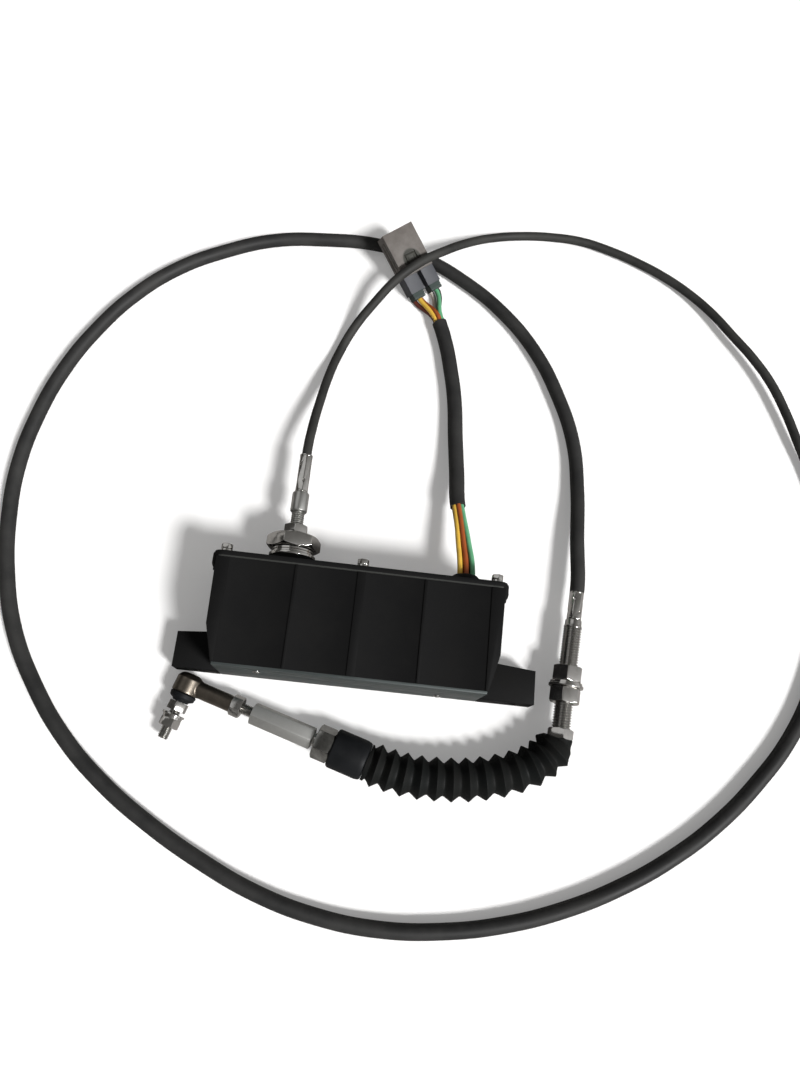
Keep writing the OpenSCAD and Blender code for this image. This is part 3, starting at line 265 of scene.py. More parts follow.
def curveThrough(name, points, radius, startDir, endDir, rings=8):
    # an open Bezier curve through points in millimetres, straight out at both ends
    data = bpy.data.curves.new(name, 'CURVE')
    data.dimensions = '3D'
    data.resolution_u = rings
    spline = data.splines.new('BEZIER')
    spline.bezier_points.add(len(points) - 1)
    for knot, place in zip(spline.bezier_points, points):
        knot.co = Vector(place) * mm
        knot.handle_left_type = knot.handle_right_type = 'AUTO'
        if radius > 0:
            knot.radius = radius * mm  # a depth of 1 goes with it, so that the curve's box fits it
    data.bevel_depth = 1 if radius > 0 else 0
    data.bevel_resolution = 6
    data.use_fill_caps = radius > 0
    piece = bpy.data.objects.new(name, data)
    bpy.context.scene.collection.objects.link(piece)
    bpy.context.view_layer.update()
    first, last = spline.bezier_points[0], spline.bezier_points[-1]
    for knot, way, other in ((first, unit(startDir), spline.bezier_points[1]),
                             (last, -unit(endDir), spline.bezier_points[-2])):
        reach = (other.co - knot.co).length / 3
        knot.handle_left_type = knot.handle_right_type = 'FREE'
        ahead, back = ('handle_right', 'handle_left') if knot == first else (
            'handle_left', 'handle_right')
        setattr(knot, ahead, knot.co + way * reach)
        setattr(knot, back, knot.co - way * reach)
    return piece


def headings(route, first, last):
    count = len(route)
    ways = []
    for i, place in enumerate(route):
        if i == 0:
            ways.append(unit(first))
        elif i == count - 1:
            ways.append(unit(last))
        else:
            ways.append(unit(unit(Vector(route[i + 1]) - Vector(place))
                             + unit(Vector(place) - Vector(route[i - 1]))))
    return ways


cable = {"radius": 3.8, "length": 0.745, "startY": 132.25}
sleeve = {"radius": 5.7, "length": 1.83}
harness = {"radius": 6.3, "length": 0.175, "start": (-0.19, 0.96, -0.2),
           "end": (-0.42, 0.9, 0.08)}
wires = {"radius": 2.0, "length": 0.308, "pitch": 4.9, "row": 4.6, "ring": 3.2, "startY": 12,
         "domeY": 50, "outY": 8, "bow": 0.38, "straight": 6, "lead": 0.16, "tail": 0.13,
         "rise": 0.1}
plug = {"at": Vector((23, 313.4, 0.5)), "yaw": 130, "pitch": 24, "sealOut": 4, "width": 30,
        "height": 16, "lobeWidth": 12.5, "spread": 3.2}
lobeSide = (plug["width"] - plug["lobeWidth"]) / 2

plugTurn = (Matrix.Rotation(math.radians(plug["yaw"]), 4, 'Z')
            @ Matrix.Rotation(-math.radians(plug["pitch"]), 4, 'Y'))
plugDir = plugTurn @ Vector((1, 0, 0))


def plugPoint(x, y, z):
    return plug["at"] + plugTurn @ Vector((x, y, z))


cableEnd = Vector(cableRoute[-1]) - Vector(cableRoute[-2])
thinCable = curveThrough("thinCable",
                         [(box["glandX"], cable["startY"], box["glandZ"])] + cableRoute,
                         cable["radius"], (0, 1, 0), cableEnd)
sleevedCable = curveThrough("sleevedCable", [engineStart] + sleeveRoute, sleeve["radius"],
                            -engineDir, -cableEnd)
harnessSleeve = curveThrough("harnessSleeve", harnessRoute, harness["radius"],
                             harness["start"], harness["end"])

# Columns and rows in the grommet, angles in the sleeve and seats in the plug, wire by wire
wirePlaces = {
    "yellow": (-1, 1, 150, (1, 0, 0.55)),
    "orange": (0, 1, 90, (1, -1, 0.25)),
    "green": (1, 1, 30, (-1, 0, 0.55)),
    "brown": (-0.6, -1, 210, (1, 1, 0.25)),
    "white": (0, -1, 270, (-1, 1, 0.25)),
    "black": (0.6, -1, 330, (-1, -1, 0.25))}


def ringPoint(centre, along, angle):
    side = Vector((0, 0, 1)).cross(along).normalized()
    up = along.cross(side)
    turn = math.radians(angle)
    return Vector(centre) + wires["ring"] * (-math.cos(turn) * side + math.sin(turn) * up)


def wireRoute(column, row, angle, seat):
    x = box["grommetX"] + column * wires["pitch"]
    z = box["glandZ"] + row * wires["row"] / 2
    ways = headings(harnessRoute, harness["start"], harness["end"])
    ring = [ringPoint(c, t, angle) for c, t in zip(harnessRoute, ways)]
    outY = wires["domeY"] + wires["outY"]
    goal = plugPoint(-plug["sealOut"], seat[0] * lobeSide + seat[1] * plug["spread"],
                     seat[2] * plug["height"])
    gap = (goal - ring[-1]).length
    flat = unit((plugDir.x, plugDir.y, wires["rise"]))
    leave = Vector((x, outY, z)).lerp(ring[0], wires["bow"])
    return ([Vector((x, wires["startY"], z)), Vector((x, outY - wires["outY"] / 2, z)), leave,
             ring[0] - wires["straight"] * ways[0]] + ring
            + [ring[-1] + wires["lead"] * gap * ways[-1], goal - wires["tail"] * gap * flat,
               goal])


wireCords = {}
for tint, place in wirePlaces.items():
    wireCords[tint] = curveThrough(tint + "Wire", wireRoute(*place), wires["radius"], (0, 1, 0),
                                   plugDir)

for cord, node in ((thinCable, "control_cable"), (sleevedCable, "cable_sleeve"),
                   (harnessSleeve, "harness_sleeve")):
    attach(cord, "base")
    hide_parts(node)
for tint, cord in wireCords.items():
    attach(cord, "base")
    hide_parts("wire_" + tint)
for cord in [thinCable, sleevedCable, harnessSleeve, *wireCords.values()]:
    print("cord", cord.name, round(cord.data.splines[0].calc_length(), 4))


# Finishes

class Field:
    # one socket of a material, so that its maths is written as Python
    def __init__(self, paint, socket):
        self.paint = paint
        self.socket = socket

    def calc(self, operation, first, second=0.0, clamp=False):
        return self.paint.add('ShaderNodeMath', {'operation': operation, 'use_clamp': clamp},
                              {0: first, 1: second})

    def __add__(self, other):
        return self.calc('ADD', self, other)

    __radd__ = __add__

    def __sub__(self, other):
        return self.calc('SUBTRACT', self, other)

    def __mul__(self, other):
        return self.calc('MULTIPLY', self, other)

    def __pow__(self, other):
        return self.calc('POWER', self, other)

    def held(self):
        return self.calc('ADD', self, 0.0, clamp=True)

    def over(self, low, high):
        # 0 below low and 1 above high
        return self.calc('MULTIPLY', self - low, 1 / (high - low), clamp=True)


class Paint:
    # one material, with its place on the object at hand
    def __init__(self, name):
        self.material = bpy.data.materials.new(name)
        self.material.use_nodes = True
        self.tree = self.material.node_tree
        self.tree.nodes.clear()
        self.place = self.add('ShaderNodeTexCoord', {}, {}, 'Object')

    def add(self, kind, settings, sockets, out=0):
        node = self.tree.nodes.new(kind)
        for key, value in settings.items():
            setattr(node, key, value)
        for key, value in sockets.items():
            if isinstance(value, Field):
                self.tree.links.new(value.socket, node.inputs[key])
            else:
                node.inputs[key].default_value = value
        return Field(self, node.outputs[out])

    def noise(self, size, detail=3.0, stretch=(1, 1, 1)):
        # size is in millimetres
        place = self.place
        if stretch != (1, 1, 1):
            place = self.add('ShaderNodeMapping', {}, {'Vector': place, 'Scale': stretch})
        return self.add('ShaderNodeTexNoise', {}, {'Vector': place, 'Scale': 1 / (size * mm),
                                                   'Detail': detail, 'Roughness': 0.6})

    def edges(self):
        return self.add('ShaderNodeNewGeometry', {}, {}, 'Pointiness')

    def blend(self, factor, first, second):
        return self.add('ShaderNodeMix', {'data_type': 'RGBA'},
                        {0: factor, 6: tinted(first), 7: tinted(second)}, 2)

    def finish(self, varying, constant, height=None, relief=0.1):
        # varying sockets take fields, constant ones numbers, and relief is in millimetres
        sockets = dict(constant)
        sockets.update(varying)
        if height is not None:
            sockets['Normal'] = self.add('ShaderNodeBump', {}, {
                'Height': height, 'Distance': relief * mm, 'Strength': 1.0})
        shader = self.add('ShaderNodeBsdfPrincipled', {}, sockets)
        output = self.tree.nodes.new('ShaderNodeOutputMaterial')
        self.tree.links.new(shader.socket, output.inputs['Surface'])
        return self.material


def tinted(colour):
    return colour if isinstance(colour, Field) or len(colour) == 4 else (*colour, 1)


# Each finish has its own values, and each returns a material

def paintedCast():
    look = {"colour": (0.0058, 0.0058, 0.006), "faded": (0.0092, 0.009, 0.0086),
            "grain": 0.8, "relief": 0.03}
    paint = Paint("castBlack")
    grain = paint.noise(look["grain"], 4)
    cloud = paint.noise(38, 3).over(0.4, 0.75)
    dust = paint.noise(4.5, 5).over(0.5, 0.85)
    colour = paint.blend(cloud * 0.7 + dust * 0.3, look["colour"], look["faded"])
    return paint.finish({'Base Color': colour, 'Roughness': 0.64 + cloud * 0.16},
                        {'Specular IOR Level': 0.1}, grain + cloud * 0.3, look["relief"])


# painted light: the base plate's pale slate grey and metallic sheen stand in for light falling on
# the black-painted base wall; the streaks and spots are random tone
def litBasePlateCoat():
    look = {"colour": (0.055, 0.065, 0.064), "pale": (0.085, 0.097, 0.095), "relief": 0.02}
    paint = Paint("litBasePlateCoat")
    streak = paint.noise(3.5, 4, (0.12, 1, 1)).over(0.35, 0.7)
    spots = paint.noise(1.1, 4).over(0.55, 0.75)
    colour = paint.blend(streak * 0.7 + spots * 0.3, look["colour"], look["pale"])
    return paint.finish({'Base Color': colour, 'Roughness': 0.42 + streak * 0.2},
                        {'Metallic': 0.35, 'Specular IOR Level': 0.4}, streak, look["relief"])


def metal(name, colour, tarnishAndValleyShade, rough, grain, tarnish, relief=0.002):
    # shade is the colour of tarnished spots and of the painted shade in concave valleys, grain the
    # spots' size and tarnish their share
    paint = Paint(name)
    cloud = paint.noise(grain, 3).over(0.3, 0.72)
    scratch = paint.noise(1.4, 2, (1, 1, 0.08)).over(0.45, 0.7)
    # painted shade: concave places, such as thread roots, are darkened towards the shade colour
    low = paint.edges().over(0.5, 0.4)
    worn = paint.blend((cloud * tarnish + low * 0.8).held(), colour, tarnishAndValleyShade)
    return paint.finish({'Base Color': worn, 'Roughness': rough + cloud * 0.06 + scratch * 0.03},
                        {'Metallic': 1.0}, scratch, relief)


def rubberCoat(name, colour, pale, rough, grain=1.2, relief=0.04, spec=0.35):
    paint = Paint(name)
    cloud = paint.noise(grain * 9, 4).over(0.35, 0.75)
    skin = paint.noise(grain * 0.4, 4)
    dust = paint.noise(grain * 2.3, 5).over(0.56, 0.8)
    worn = paint.blend(cloud * 0.5 + dust * 0.5, colour, pale)
    return paint.finish({'Base Color': worn, 'Roughness': rough + cloud * 0.12},
                        {'Specular IOR Level': spec}, skin + cloud * 0.4, relief)


def bellowsRubber():
    # greenish black with paler dusty valleys
    look = {"colour": (0.0048, 0.0056, 0.0054), "valley": (0.0125, 0.013, 0.0122),
            "brown": (0.0075, 0.007, 0.0062), "relief": 0.04}
    paint = Paint("bellowsRubber")
    cloud = paint.noise(17, 3).over(0.4, 0.7)
    dust = paint.noise(2.6, 5).over(0.42, 0.7)
    valley = (paint.edges().over(0.49, 0.44) * (0.35 + dust * 0.65)).held()
    colour = paint.blend(cloud * 0.55, look["colour"], look["brown"])
    colour = paint.blend(valley, colour, look["valley"])
    return paint.finish({'Base Color': colour, 'Roughness': 0.56 + cloud * 0.15},
                        {'Specular IOR Level': 0.13}, paint.noise(0.6, 3), look["relief"])


def cableSheath(name, colour, pale, rough=0.56):
    # drawn lines run along the cord, whose own coordinates follow its length
    paint = Paint(name)
    along = paint.add('ShaderNodeTexCoord', {}, {}, 'UV')
    lines = paint.add('ShaderNodeTexNoise', {}, {
        'Vector': paint.add('ShaderNodeMapping', {}, {'Vector': along, 'Scale': (3, 26, 1)}),
        'Scale': 1.0, 'Detail': 4.0})
    cloud = paint.noise(26, 4).over(0.36, 0.72)
    dust = paint.noise(1.6, 5).over(0.58, 0.82)
    worn = paint.blend(cloud * 0.6 + dust * 0.4, colour, pale)
    return paint.finish({'Base Color': worn, 'Roughness': rough + cloud * 0.14},
                        {'Specular IOR Level': 0.25}, lines + paint.noise(0.8, 3) * 0.5, 0.05)


def plasticCoat(name, colour, dark, rough=0.5, relief=0.02):
    paint = Paint(name)
    cloud = paint.noise(9, 4).over(0.35, 0.7)
    specks = paint.noise(0.9, 4).over(0.6, 0.8)
    worn = paint.blend(cloud * 0.6 + specks * 0.4, colour, dark)
    return paint.finish({'Base Color': worn, 'Roughness': rough + cloud * 0.1},
                        {'Specular IOR Level': 0.4}, paint.noise(0.5, 3), relief)


def plugShell():
    # warm grey, with bluish lobes at the wires' end and a dark patch on top at the latch, painted
    # shade of its recess
    look = {"colour": (0.135, 0.122, 0.112), "dark": (0.1, 0.088, 0.08),
            "lobe": (0.05, 0.052, 0.06), "latch": (0.026, 0.026, 0.02)}
    paint = Paint("plugShell")
    out = [plugTurn @ Vector(way) for way in ((1, 0, 0), (0, 1, 0), (0, 0, 1))]
    x, y, z = [paint.add('ShaderNodeVectorMath', {'operation': 'DOT_PRODUCT'},
                         {0: paint.place, 1: tuple(way)}, 1) - plug["at"].dot(way) * mm
               for way in out]
    cloud = paint.noise(9, 4)
    near = (x * 1000 + cloud * 1.5).over(16.2, 15.2)
    long = (x * 1000 - 26) * (1 / 9.5)
    wide = y * (1000 / 8.6)
    # painted shade: a dark oval over the latch recess on top of the plug
    latchShadePatch = (long ** 2 + wide ** 2 + cloud * 0.3).over(1.25, 0.95) * (z * 1000).over(13, 14)
    colour = paint.blend(cloud.over(0.35, 0.7), look["colour"], look["dark"])
    colour = paint.blend(near, colour, look["lobe"])
    colour = paint.blend(latchShadePatch.held(), colour, look["latch"])
    return paint.finish({'Base Color': colour, 'Roughness': 0.5 + cloud * 0.12},
                        {'Specular IOR Level': 0.35}, paint.noise(0.9, 3), 0.02)


def wireCoat(name, colour):
    dark = tuple(0.72 * part for part in colour)
    return plasticCoat(name, colour, dark, 0.38, 0.01)


finishes = {
    "cast_black": paintedCast(),
    "slate": litBasePlateCoat(),
    "zinc": metal("zincPlate", (0.68, 0.67, 0.65), (0.42, 0.4, 0.37), 0.1, 5, 0.3),
    # the steel's dark second colour is mostly the painted shade in its thread valleys
    "steel": metal("turnedSteel", (0.6, 0.59, 0.57), (0.12, 0.115, 0.105), 0.16, 4, 0.2),
    "olive_steel": metal("oliveSteel", (0.2, 0.175, 0.145), (0.085, 0.072, 0.06), 0.33, 6, 0.6,
                         0.008),
    "rubber": rubberCoat("blackRubber", (0.0056, 0.0062, 0.0072), (0.0105, 0.0115, 0.013), 0.54,
                         1.2, 0.03, 0.18),
    "sheath": cableSheath("cableSheath", (0.019, 0.019, 0.018), (0.05, 0.049, 0.045)),
    "gasket": rubberCoat("gasketSheet", (0.034, 0.035, 0.032), (0.02, 0.021, 0.019), 0.7, 0.8),
    "connector_grey": plasticCoat("plugPlastic", (0.135, 0.122, 0.112), (0.095, 0.083, 0.075)),
    "seal": rubberCoat("wireSeal", (0.012, 0.024, 0.02), (0.03, 0.045, 0.04), 0.45, 0.8),
    "brass": metal("brass", (0.62, 0.47, 0.22), (0.34, 0.24, 0.11), 0.28, 4, 0.5),
    "board": plasticCoat("boardGreen", (0.03, 0.14, 0.08), (0.02, 0.09, 0.05), 0.35),
    "dark_plastic": plasticCoat("darkPlastic", (0.035, 0.038, 0.042), (0.02, 0.022, 0.024)),
    "yellow": wireCoat("wireYellow", (0.8, 0.5, 0.07)),
    "orange": wireCoat("wireOrange", (0.36, 0.085, 0.02)),
    "green": wireCoat("wireGreen", (0.13, 0.4, 0.21)),
    "brown": wireCoat("wireBrown", (0.12, 0.03, 0.02)),
    "white": wireCoat("wireWhite", (0.66, 0.62, 0.56)),
    "black_wire": wireCoat("wireBlack", (0.02, 0.02, 0.02))}
bellowsSkin = bellowsRubber()
satin = metal("satinSteel", (0.72, 0.72, 0.7), (0.5, 0.49, 0.46), 0.44, 7, 0.3)
hubSteel = metal("hubSteel", (0.62, 0.62, 0.6), (0.2, 0.195, 0.18), 0.3, 7, 0.12)
# painted shade: a darker copy of the zinc plate for the collar nut, standing in for the shaded
# surroundings that it reflects
shadedNickel = metal("shadedNickel", (0.4, 0.4, 0.385), (0.1, 0.098, 0.09), 0.12, 4, 0.6)
chrome = metal("brightPlate", (0.75, 0.74, 0.72), (0.4, 0.38, 0.35), 0.06, 6, 0.3)
sleeveSkin = cableSheath("sleeveSkin", (0.017, 0.017, 0.017), (0.042, 0.041, 0.039), 0.54)

for entry in frame["record"]["subparts"]:
    mesh = frame["nodes"][entry["node"]].data
    mesh.materials.clear()
    mesh.materials.append(finishes[entry["material_slot"]])


def coat(piece, slot, material=None):
    piece.data.materials.clear()
    piece.data.materials.append(material or finishes[slot])
    return piece


def seat(piece, body, slot, nodes, material=None):
    # the finish, the body and the CAD nodes of one new piece
    coat(piece, slot, material)
    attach(piece, body)
    if nodes:
        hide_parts(*nodes)
    return piece


coat(thinCable, "sheath")
coat(sleevedCable, "sheath", sleeveSkin)
coat(harnessSleeve, "rubber", sleeveSkin)
for tint, cord in wireCords.items():
    coat(cord, "black_wire" if tint == "black" else tint)
print("finishes made:", len(finishes))


# Blocks, and turned, threaded and hexagonal pieces, each made round its own Z and then placed

def block(name, size, middle, turn=0.0):
    # size and middle are in millimetres, turn in degrees about Z
    deselectAll()
    bpy.ops.mesh.primitive_cube_add(size=mm, location=Vector(middle) * mm,
                                    rotation=(0, 0, math.radians(turn)))
    piece = bpy.context.view_layer.objects.active
    piece.name = name
    piece.scale = size
    bpy.ops.object.transform_apply(location=True, rotation=True, scale=True)
    return piece


def profileChain(name, outline):
    # a chain of edges through (radius, height) pairs in millimetres
    deselectAll()
    bpy.ops.mesh.primitive_plane_add(size=mm)
    piece = bpy.context.view_layer.objects.active
    piece.name = name
    bpy.ops.object.mode_set(mode='EDIT')
    bpy.ops.mesh.select_mode(type='VERT')
    bpy.ops.mesh.select_all(action='SELECT')
    bpy.ops.mesh.merge(type='CENTER')
    bpy.ops.transform.translate(value=(outline[0][0] * mm, 0, outline[0][1] * mm))
    for (r0, z0), (r1, z1) in zip(outline, outline[1:]):
        bpy.ops.mesh.extrude_vertices_move(
            TRANSFORM_OT_translate={'value': ((r1 - r0) * mm, 0, (z1 - z0) * mm)})
    leaveEdit()
    return piece


def turned(name, outline, sides=48):
    piece = profileChain(name, outline)
    editAll(piece)
    bpy.ops.mesh.spin(steps=sides, angle=2 * math.pi, center=(0, 0, 0), axis=(0, 0, 1))
    leaveEdit()
    mendNormals(piece)
    return piece


def threaded(name, radius, pitch, low, high, point=0.0, sides=32):
    # a zigzag screwed past both ends and cut there; point tapers the upper end
    root = radius - 0.6 * pitch
    start = low - 2 * pitch
    piece = profileChain(name, [(root, start), (root, start + 0.12 * pitch),
                                (radius, start + 0.5 * pitch), (radius, start + 0.62 * pitch),
                                (root, start + pitch)])
    applyModifier(piece, 'SCREW', axis='Z', angle=2 * math.pi, screw_offset=pitch * mm,
                  iterations=math.ceil((high - low) / pitch) + 4, steps=sides,
                  render_steps=sides, use_merge_vertices=True, merge_threshold=0.001 * mm)
    editAll(piece)
    bpy.ops.mesh.remove_doubles(threshold=0.002 * mm)
    bpy.ops.mesh.select_all(action='SELECT')
    bpy.ops.mesh.bisect(plane_co=(0, 0, low * mm), plane_no=(0, 0, 1), use_fill=True,
                        clear_inner=True)
    bpy.ops.mesh.select_all(action='SELECT')
    bpy.ops.mesh.bisect(plane_co=(0, 0, high * mm), plane_no=(0, 0, 1), use_fill=True,
                        clear_outer=True)
    leaveEdit()
    if point > 0:
        for share in (0.55, 0.12):
            level = (high - share * pitch) * mm
            editPoints(piece, lambda place: place.z > level)
            bpy.ops.transform.resize(value=(1 - point, 1 - point, 1),
                                     center_override=(0, 0, high * mm))
            leaveEdit()
    mendNormals(piece)
    smoothBy(piece, 40)
    return piece


def hexBar(name, flats, low, high, roll=0.0, edge=0.25):
    deselectAll()
    bpy.ops.mesh.primitive_cylinder_add(vertices=6, radius=flats / math.sqrt(3) * mm,
                                        depth=(high - low) * mm,
                                        location=(0, 0, (low + high) / 2 * mm),
                                        rotation=(0, 0, math.radians(roll)))
    piece = bpy.context.view_layer.objects.active
    piece.name = name
    bpy.ops.object.transform_apply(location=True, rotation=True, scale=True)
    if edge > 0:
        softEdges(piece, edge, 2)
    return piece


def hexNut(name, flats, low, high, bore, roll, edge=0.3):
    # a hexagon with both ends turned down at 30 degrees
    nut = hexBar(name, flats, low, high, roll, 0)
    corner, face = flats / math.sqrt(3) + 0.5, 0.48 * flats
    slope = (corner - face) * math.tan(math.radians(30))
    barrel = turned(name + "Barrel", [
        (bore, low + 0.01), (face, low + 0.01), (corner, low + slope), (corner, high - slope),
        (face, high - 0.01), (bore, high - 0.01), (bore, low + 0.01)], 72)
    applyModifier(nut, 'BOOLEAN', object=barrel, operation='INTERSECT', solver='EXACT')
    bpy.data.objects.remove(barrel)
    softEdges(nut, edge, 2, 25)
    smoothBy(nut, 30)
    return nut


# Box, lid and their screws

castEdges = {"housing": 0.8, "base_plate": 0.3, "lid": 0.6, "lid_gasket": 0.0,
             "gland_bushing": 0.15}
for node, width in castEdges.items():
    slot = next(e["material_slot"] for e in frame["record"]["subparts"] if e["node"] == node)
    seat(dressed(node, plainName(node), width), "base", slot, [node])

boss = {"x": 101.3, "radius": 7.1, "low": 27.5, "high": 40.4, "soft": 1.6}
firstBoss = turned("boss", [(0, boss["low"]), (boss["radius"] - 2.4, boss["low"]),
                            (boss["radius"], boss["low"] + 3.6), (boss["radius"], boss["high"]),
                            (0, boss["high"])], 40)
softEdges(firstBoss, boss["soft"], 3, 20)
bosses = [placeAt(copyOf(firstBoss, "boss"), axes((x, 0, z), (0, 1, 0), (1, 0, 0)))
          for x in (-boss["x"], boss["x"]) for z in (box["screwLow"], box["screwHigh"])]
bpy.data.objects.remove(firstBoss)
bossSet = joined(bosses, "cornerBosses")
smoothBy(bossSet)
seat(bossSet, "base", "cast_black", [])
print("box dressed")

gland = {"washer": 17.5, "washerLow": 47.3, "washerHigh": 49.6, "spring": 15.9,
         "springHigh": 53.6, "nutLow": 53.7, "nutHigh": 64.4, "lockHigh": 73.5, "bore": 12.1,
         "rod": 5.05, "roll": -17, "lockRoll": 1}
flatRing = turned("flatRing", [
    (gland["bore"], gland["washerLow"]), (gland["washer"], gland["washerLow"]),
    (gland["washer"], gland["washerHigh"]), (gland["bore"], gland["washerHigh"]),
    (gland["bore"], gland["washerLow"])], 72)
softEdges(flatRing, 0.3)
rise = gland["springHigh"] - gland["washerHigh"]
springRing = turned("springRing", [(gland["bore"], gland["washerHigh"])] + [
    (gland["spring"] + dip, gland["washerHigh"] + part * rise)
    for dip, part in ((-0.9, 0.03), (0, 0.12), (0, 0.42), (-1, 0.5), (0, 0.58), (0, 0.88),
                      (-0.9, 0.97))]
    + [(gland["bore"], gland["springHigh"]), (gland["bore"], gland["washerHigh"])], 72)
smoothBy(springRing)
glandRings = joined([flatRing, springRing], "glandWashers")
smoothBy(glandRings)
seat(placeAt(glandRings, glandAt(0)), "base", "zinc", ["gland_washers"])
seat(placeAt(hexNut("glandNut", 36, gland["nutLow"], gland["nutHigh"], gland["bore"],
                    gland["roll"], 0.4), glandAt(0)), "base", "zinc", ["gland_nut"])
seat(placeAt(hexNut("hubLocknut", 17, gland["nutHigh"] + 0.05, gland["lockHigh"], gland["rod"],
                    gland["lockRoll"], 0.25), glandAt(0)), "base", "zinc", ["hub_locknut"])

dome = {"base": 13.2, "low": 40.8, "lip": 42.2, "high": 49.8}
grommet = turned("grommet", [
    (0, 20), (9.4, 20), (9.4, dome["low"]), (dome["base"] - 0.4, dome["low"]),
    (dome["base"], dome["low"] + 0.5), (dome["base"], dome["lip"]), (12, dome["lip"] + 1.5),
    (10.6, dome["high"] - 2), (9.2, dome["high"] - 0.5), (7, dome["high"]),
    (0, dome["high"])], 56)
applyModifier(grommet, 'SUBSURF', levels=1, render_levels=1)
smoothBy(grommet, 50)
seat(placeAt(grommet, axes((box["grommetX"], 0, box["glandZ"]), (0, 1, 0), (1, 0, 0))), "base",
     "rubber", ["grommet"])

lidScrew = {"flats": 7.6, "plain": 4.5, "plainHigh": 1.0, "washer": 4.1, "washerHigh": 2.4,
            "low": 2.5, "high": 6.4, "dishDeep": 0.7, "split": 0.5}


def lidScrewHead():
    v = lidScrew
    plain = turned("lidWasher", [(2.7, 0.05), (v["plain"], 0.05), (v["plain"], v["plainHigh"]),
                                 (2.7, v["plainHigh"]), (2.7, 0.05)], 40)
    softEdges(plain, 0.15)
    ring = turned("lidScrew", [(2.7, v["plainHigh"] + 0.05), (v["washer"], v["plainHigh"] + 0.05),
                               (v["washer"], v["washerHigh"]), (2.7, v["washerHigh"]),
                               (2.7, v["plainHigh"] + 0.05)], 40)
    editFaces(ring, lambda middle, normal: abs(middle.y) < v["split"] * mm and middle.x > 0)
    bpy.ops.mesh.delete(type='FACE')
    leaveEdit()
    editAll(ring)
    bpy.ops.mesh.select_all(action='DESELECT')
    bpy.ops.mesh.select_non_manifold()
    bpy.ops.mesh.fill()
    leaveEdit()
    head = hexBar("lidScrewHex", v["flats"], v["low"], v["high"], 12, 0.35)
    editFaces(head, lambda middle, normal: normal.z > 0.99)
    bpy.ops.mesh.inset(thickness=0.9 * mm, depth=0)
    bpy.ops.mesh.inset(thickness=0.3 * mm, depth=-v["dishDeep"] * mm)
    leaveEdit()
    stem = turned("lidScrewStem", [(0, -10), (2.45, -10), (2.45, v["low"] + 0.2),
                                   (0, v["low"] + 0.2)], 24)
    whole = joined([ring, plain, head, stem], "lidScrew")
    smoothBy(whole, 30)
    return whole


screwSpots = [(x, z) for z in (box["screwLow"], box["screwHigh"])
              for x in (-box["screwX"], 0, box["screwX"])]
firstScrew = lidScrewHead()
screws = []
for index, (x, z) in enumerate(screwSpots):
    turn = math.radians(37 * index)
    screws.append(placeAt(copyOf(firstScrew, "lidScrew" + str(index + 1)),
                          axes((x, box["lidTop"], z), (0, 1, 0),
                               (math.cos(turn), 0, math.sin(turn)))))
bpy.data.objects.remove(firstScrew)
seat(joined(screws, "lidScrews"), "base", "zinc", ["lid_screws", "lid_washers"])

baseScrew = {"head": 2.85, "high": 1.5, "slotWide": 0.5, "slotLong": 1.7, "slotDeep": 0.8}


def panHead():
    v = baseScrew
    head = turned("panHead", [(0, v["high"]), (0.45 * v["head"], v["high"]),
                              (0.8 * v["head"], 0.8 * v["high"]), (v["head"], 0.25 * v["high"]),
                              (v["head"], 0), (1.45, 0), (1.45, -4.8), (0, -4.8)], 32)
    for turn in (0, 90):
        cutter = block("slot", (2 * v["slotLong"], v["slotWide"], 2 * v["slotDeep"]),
                       (0, 0, v["high"]), turn)
        applyModifier(head, 'BOOLEAN', object=cutter, operation='DIFFERENCE', solver='EXACT')
        bpy.data.objects.remove(cutter)
    smoothBy(head, 30)
    return head


firstPan = panHead()
pans = [placeAt(copyOf(firstPan, "baseScrew" + str(index + 1)),
                axes((x, box["baseY"], z), (0, -1, 0), (1, 0, 0.4)))
        for index, (x, z) in enumerate(((66, 14), (-66, 42.5)))]
bpy.data.objects.remove(firstPan)
seat(joined(pans, "baseScrews"), "base", "zinc", ["base_screws"])
print("screws in place")


# Crimped ferrules, hub and threaded fitting

def crimpedFerrule(name, width, length, place, roll):
    # pressed six-sided over its length, with a round lip at each end and two rows of dimples
    press = {"flats": 0.93, "edge": 0.7, "rows": (0.3, 0.72), "dimple": 1.7, "deep": 0.55}
    bar = hexBar(name, press["flats"] * width, 0.3, length - 0.3, roll, press["edge"])
    dimples = []
    for row in press["rows"]:
        for side in range(3):
            turn = math.radians(roll + 30 + 120 * side + (60 if row > 0.5 else 0))
            reach = press["flats"] * width / 2 + press["dimple"] - press["deep"]
            deselectAll()
            bpy.ops.mesh.primitive_uv_sphere_add(
                segments=24, ring_count=12, radius=press["dimple"] * mm,
                location=(reach * math.cos(turn) * mm, reach * math.sin(turn) * mm,
                          row * length * mm))
            dimples.append(bpy.context.view_layer.objects.active)
    cutter = joined(dimples, name + "Dimples")
    applyModifier(bar, 'BOOLEAN', object=cutter, operation='DIFFERENCE', solver='EXACT')
    bpy.data.objects.remove(cutter)
    softEdges(bar, 0.12, 2, 40)
    r = width / 2
    lips = turned(name + "Lips", [(0, 0), (r - 0.4, 0), (r, 0.4), (r, 1.5), (r - 0.7, 2.2),
                                  (r - 0.7, length - 2.2), (r, length - 1.5), (r, length - 0.4),
                                  (r - 0.4, length), (0, length)])
    softEdges(lips, 0.2)
    whole = joined([bar, lips], name)
    smoothBy(whole, 32)
    return placeAt(whole, place)


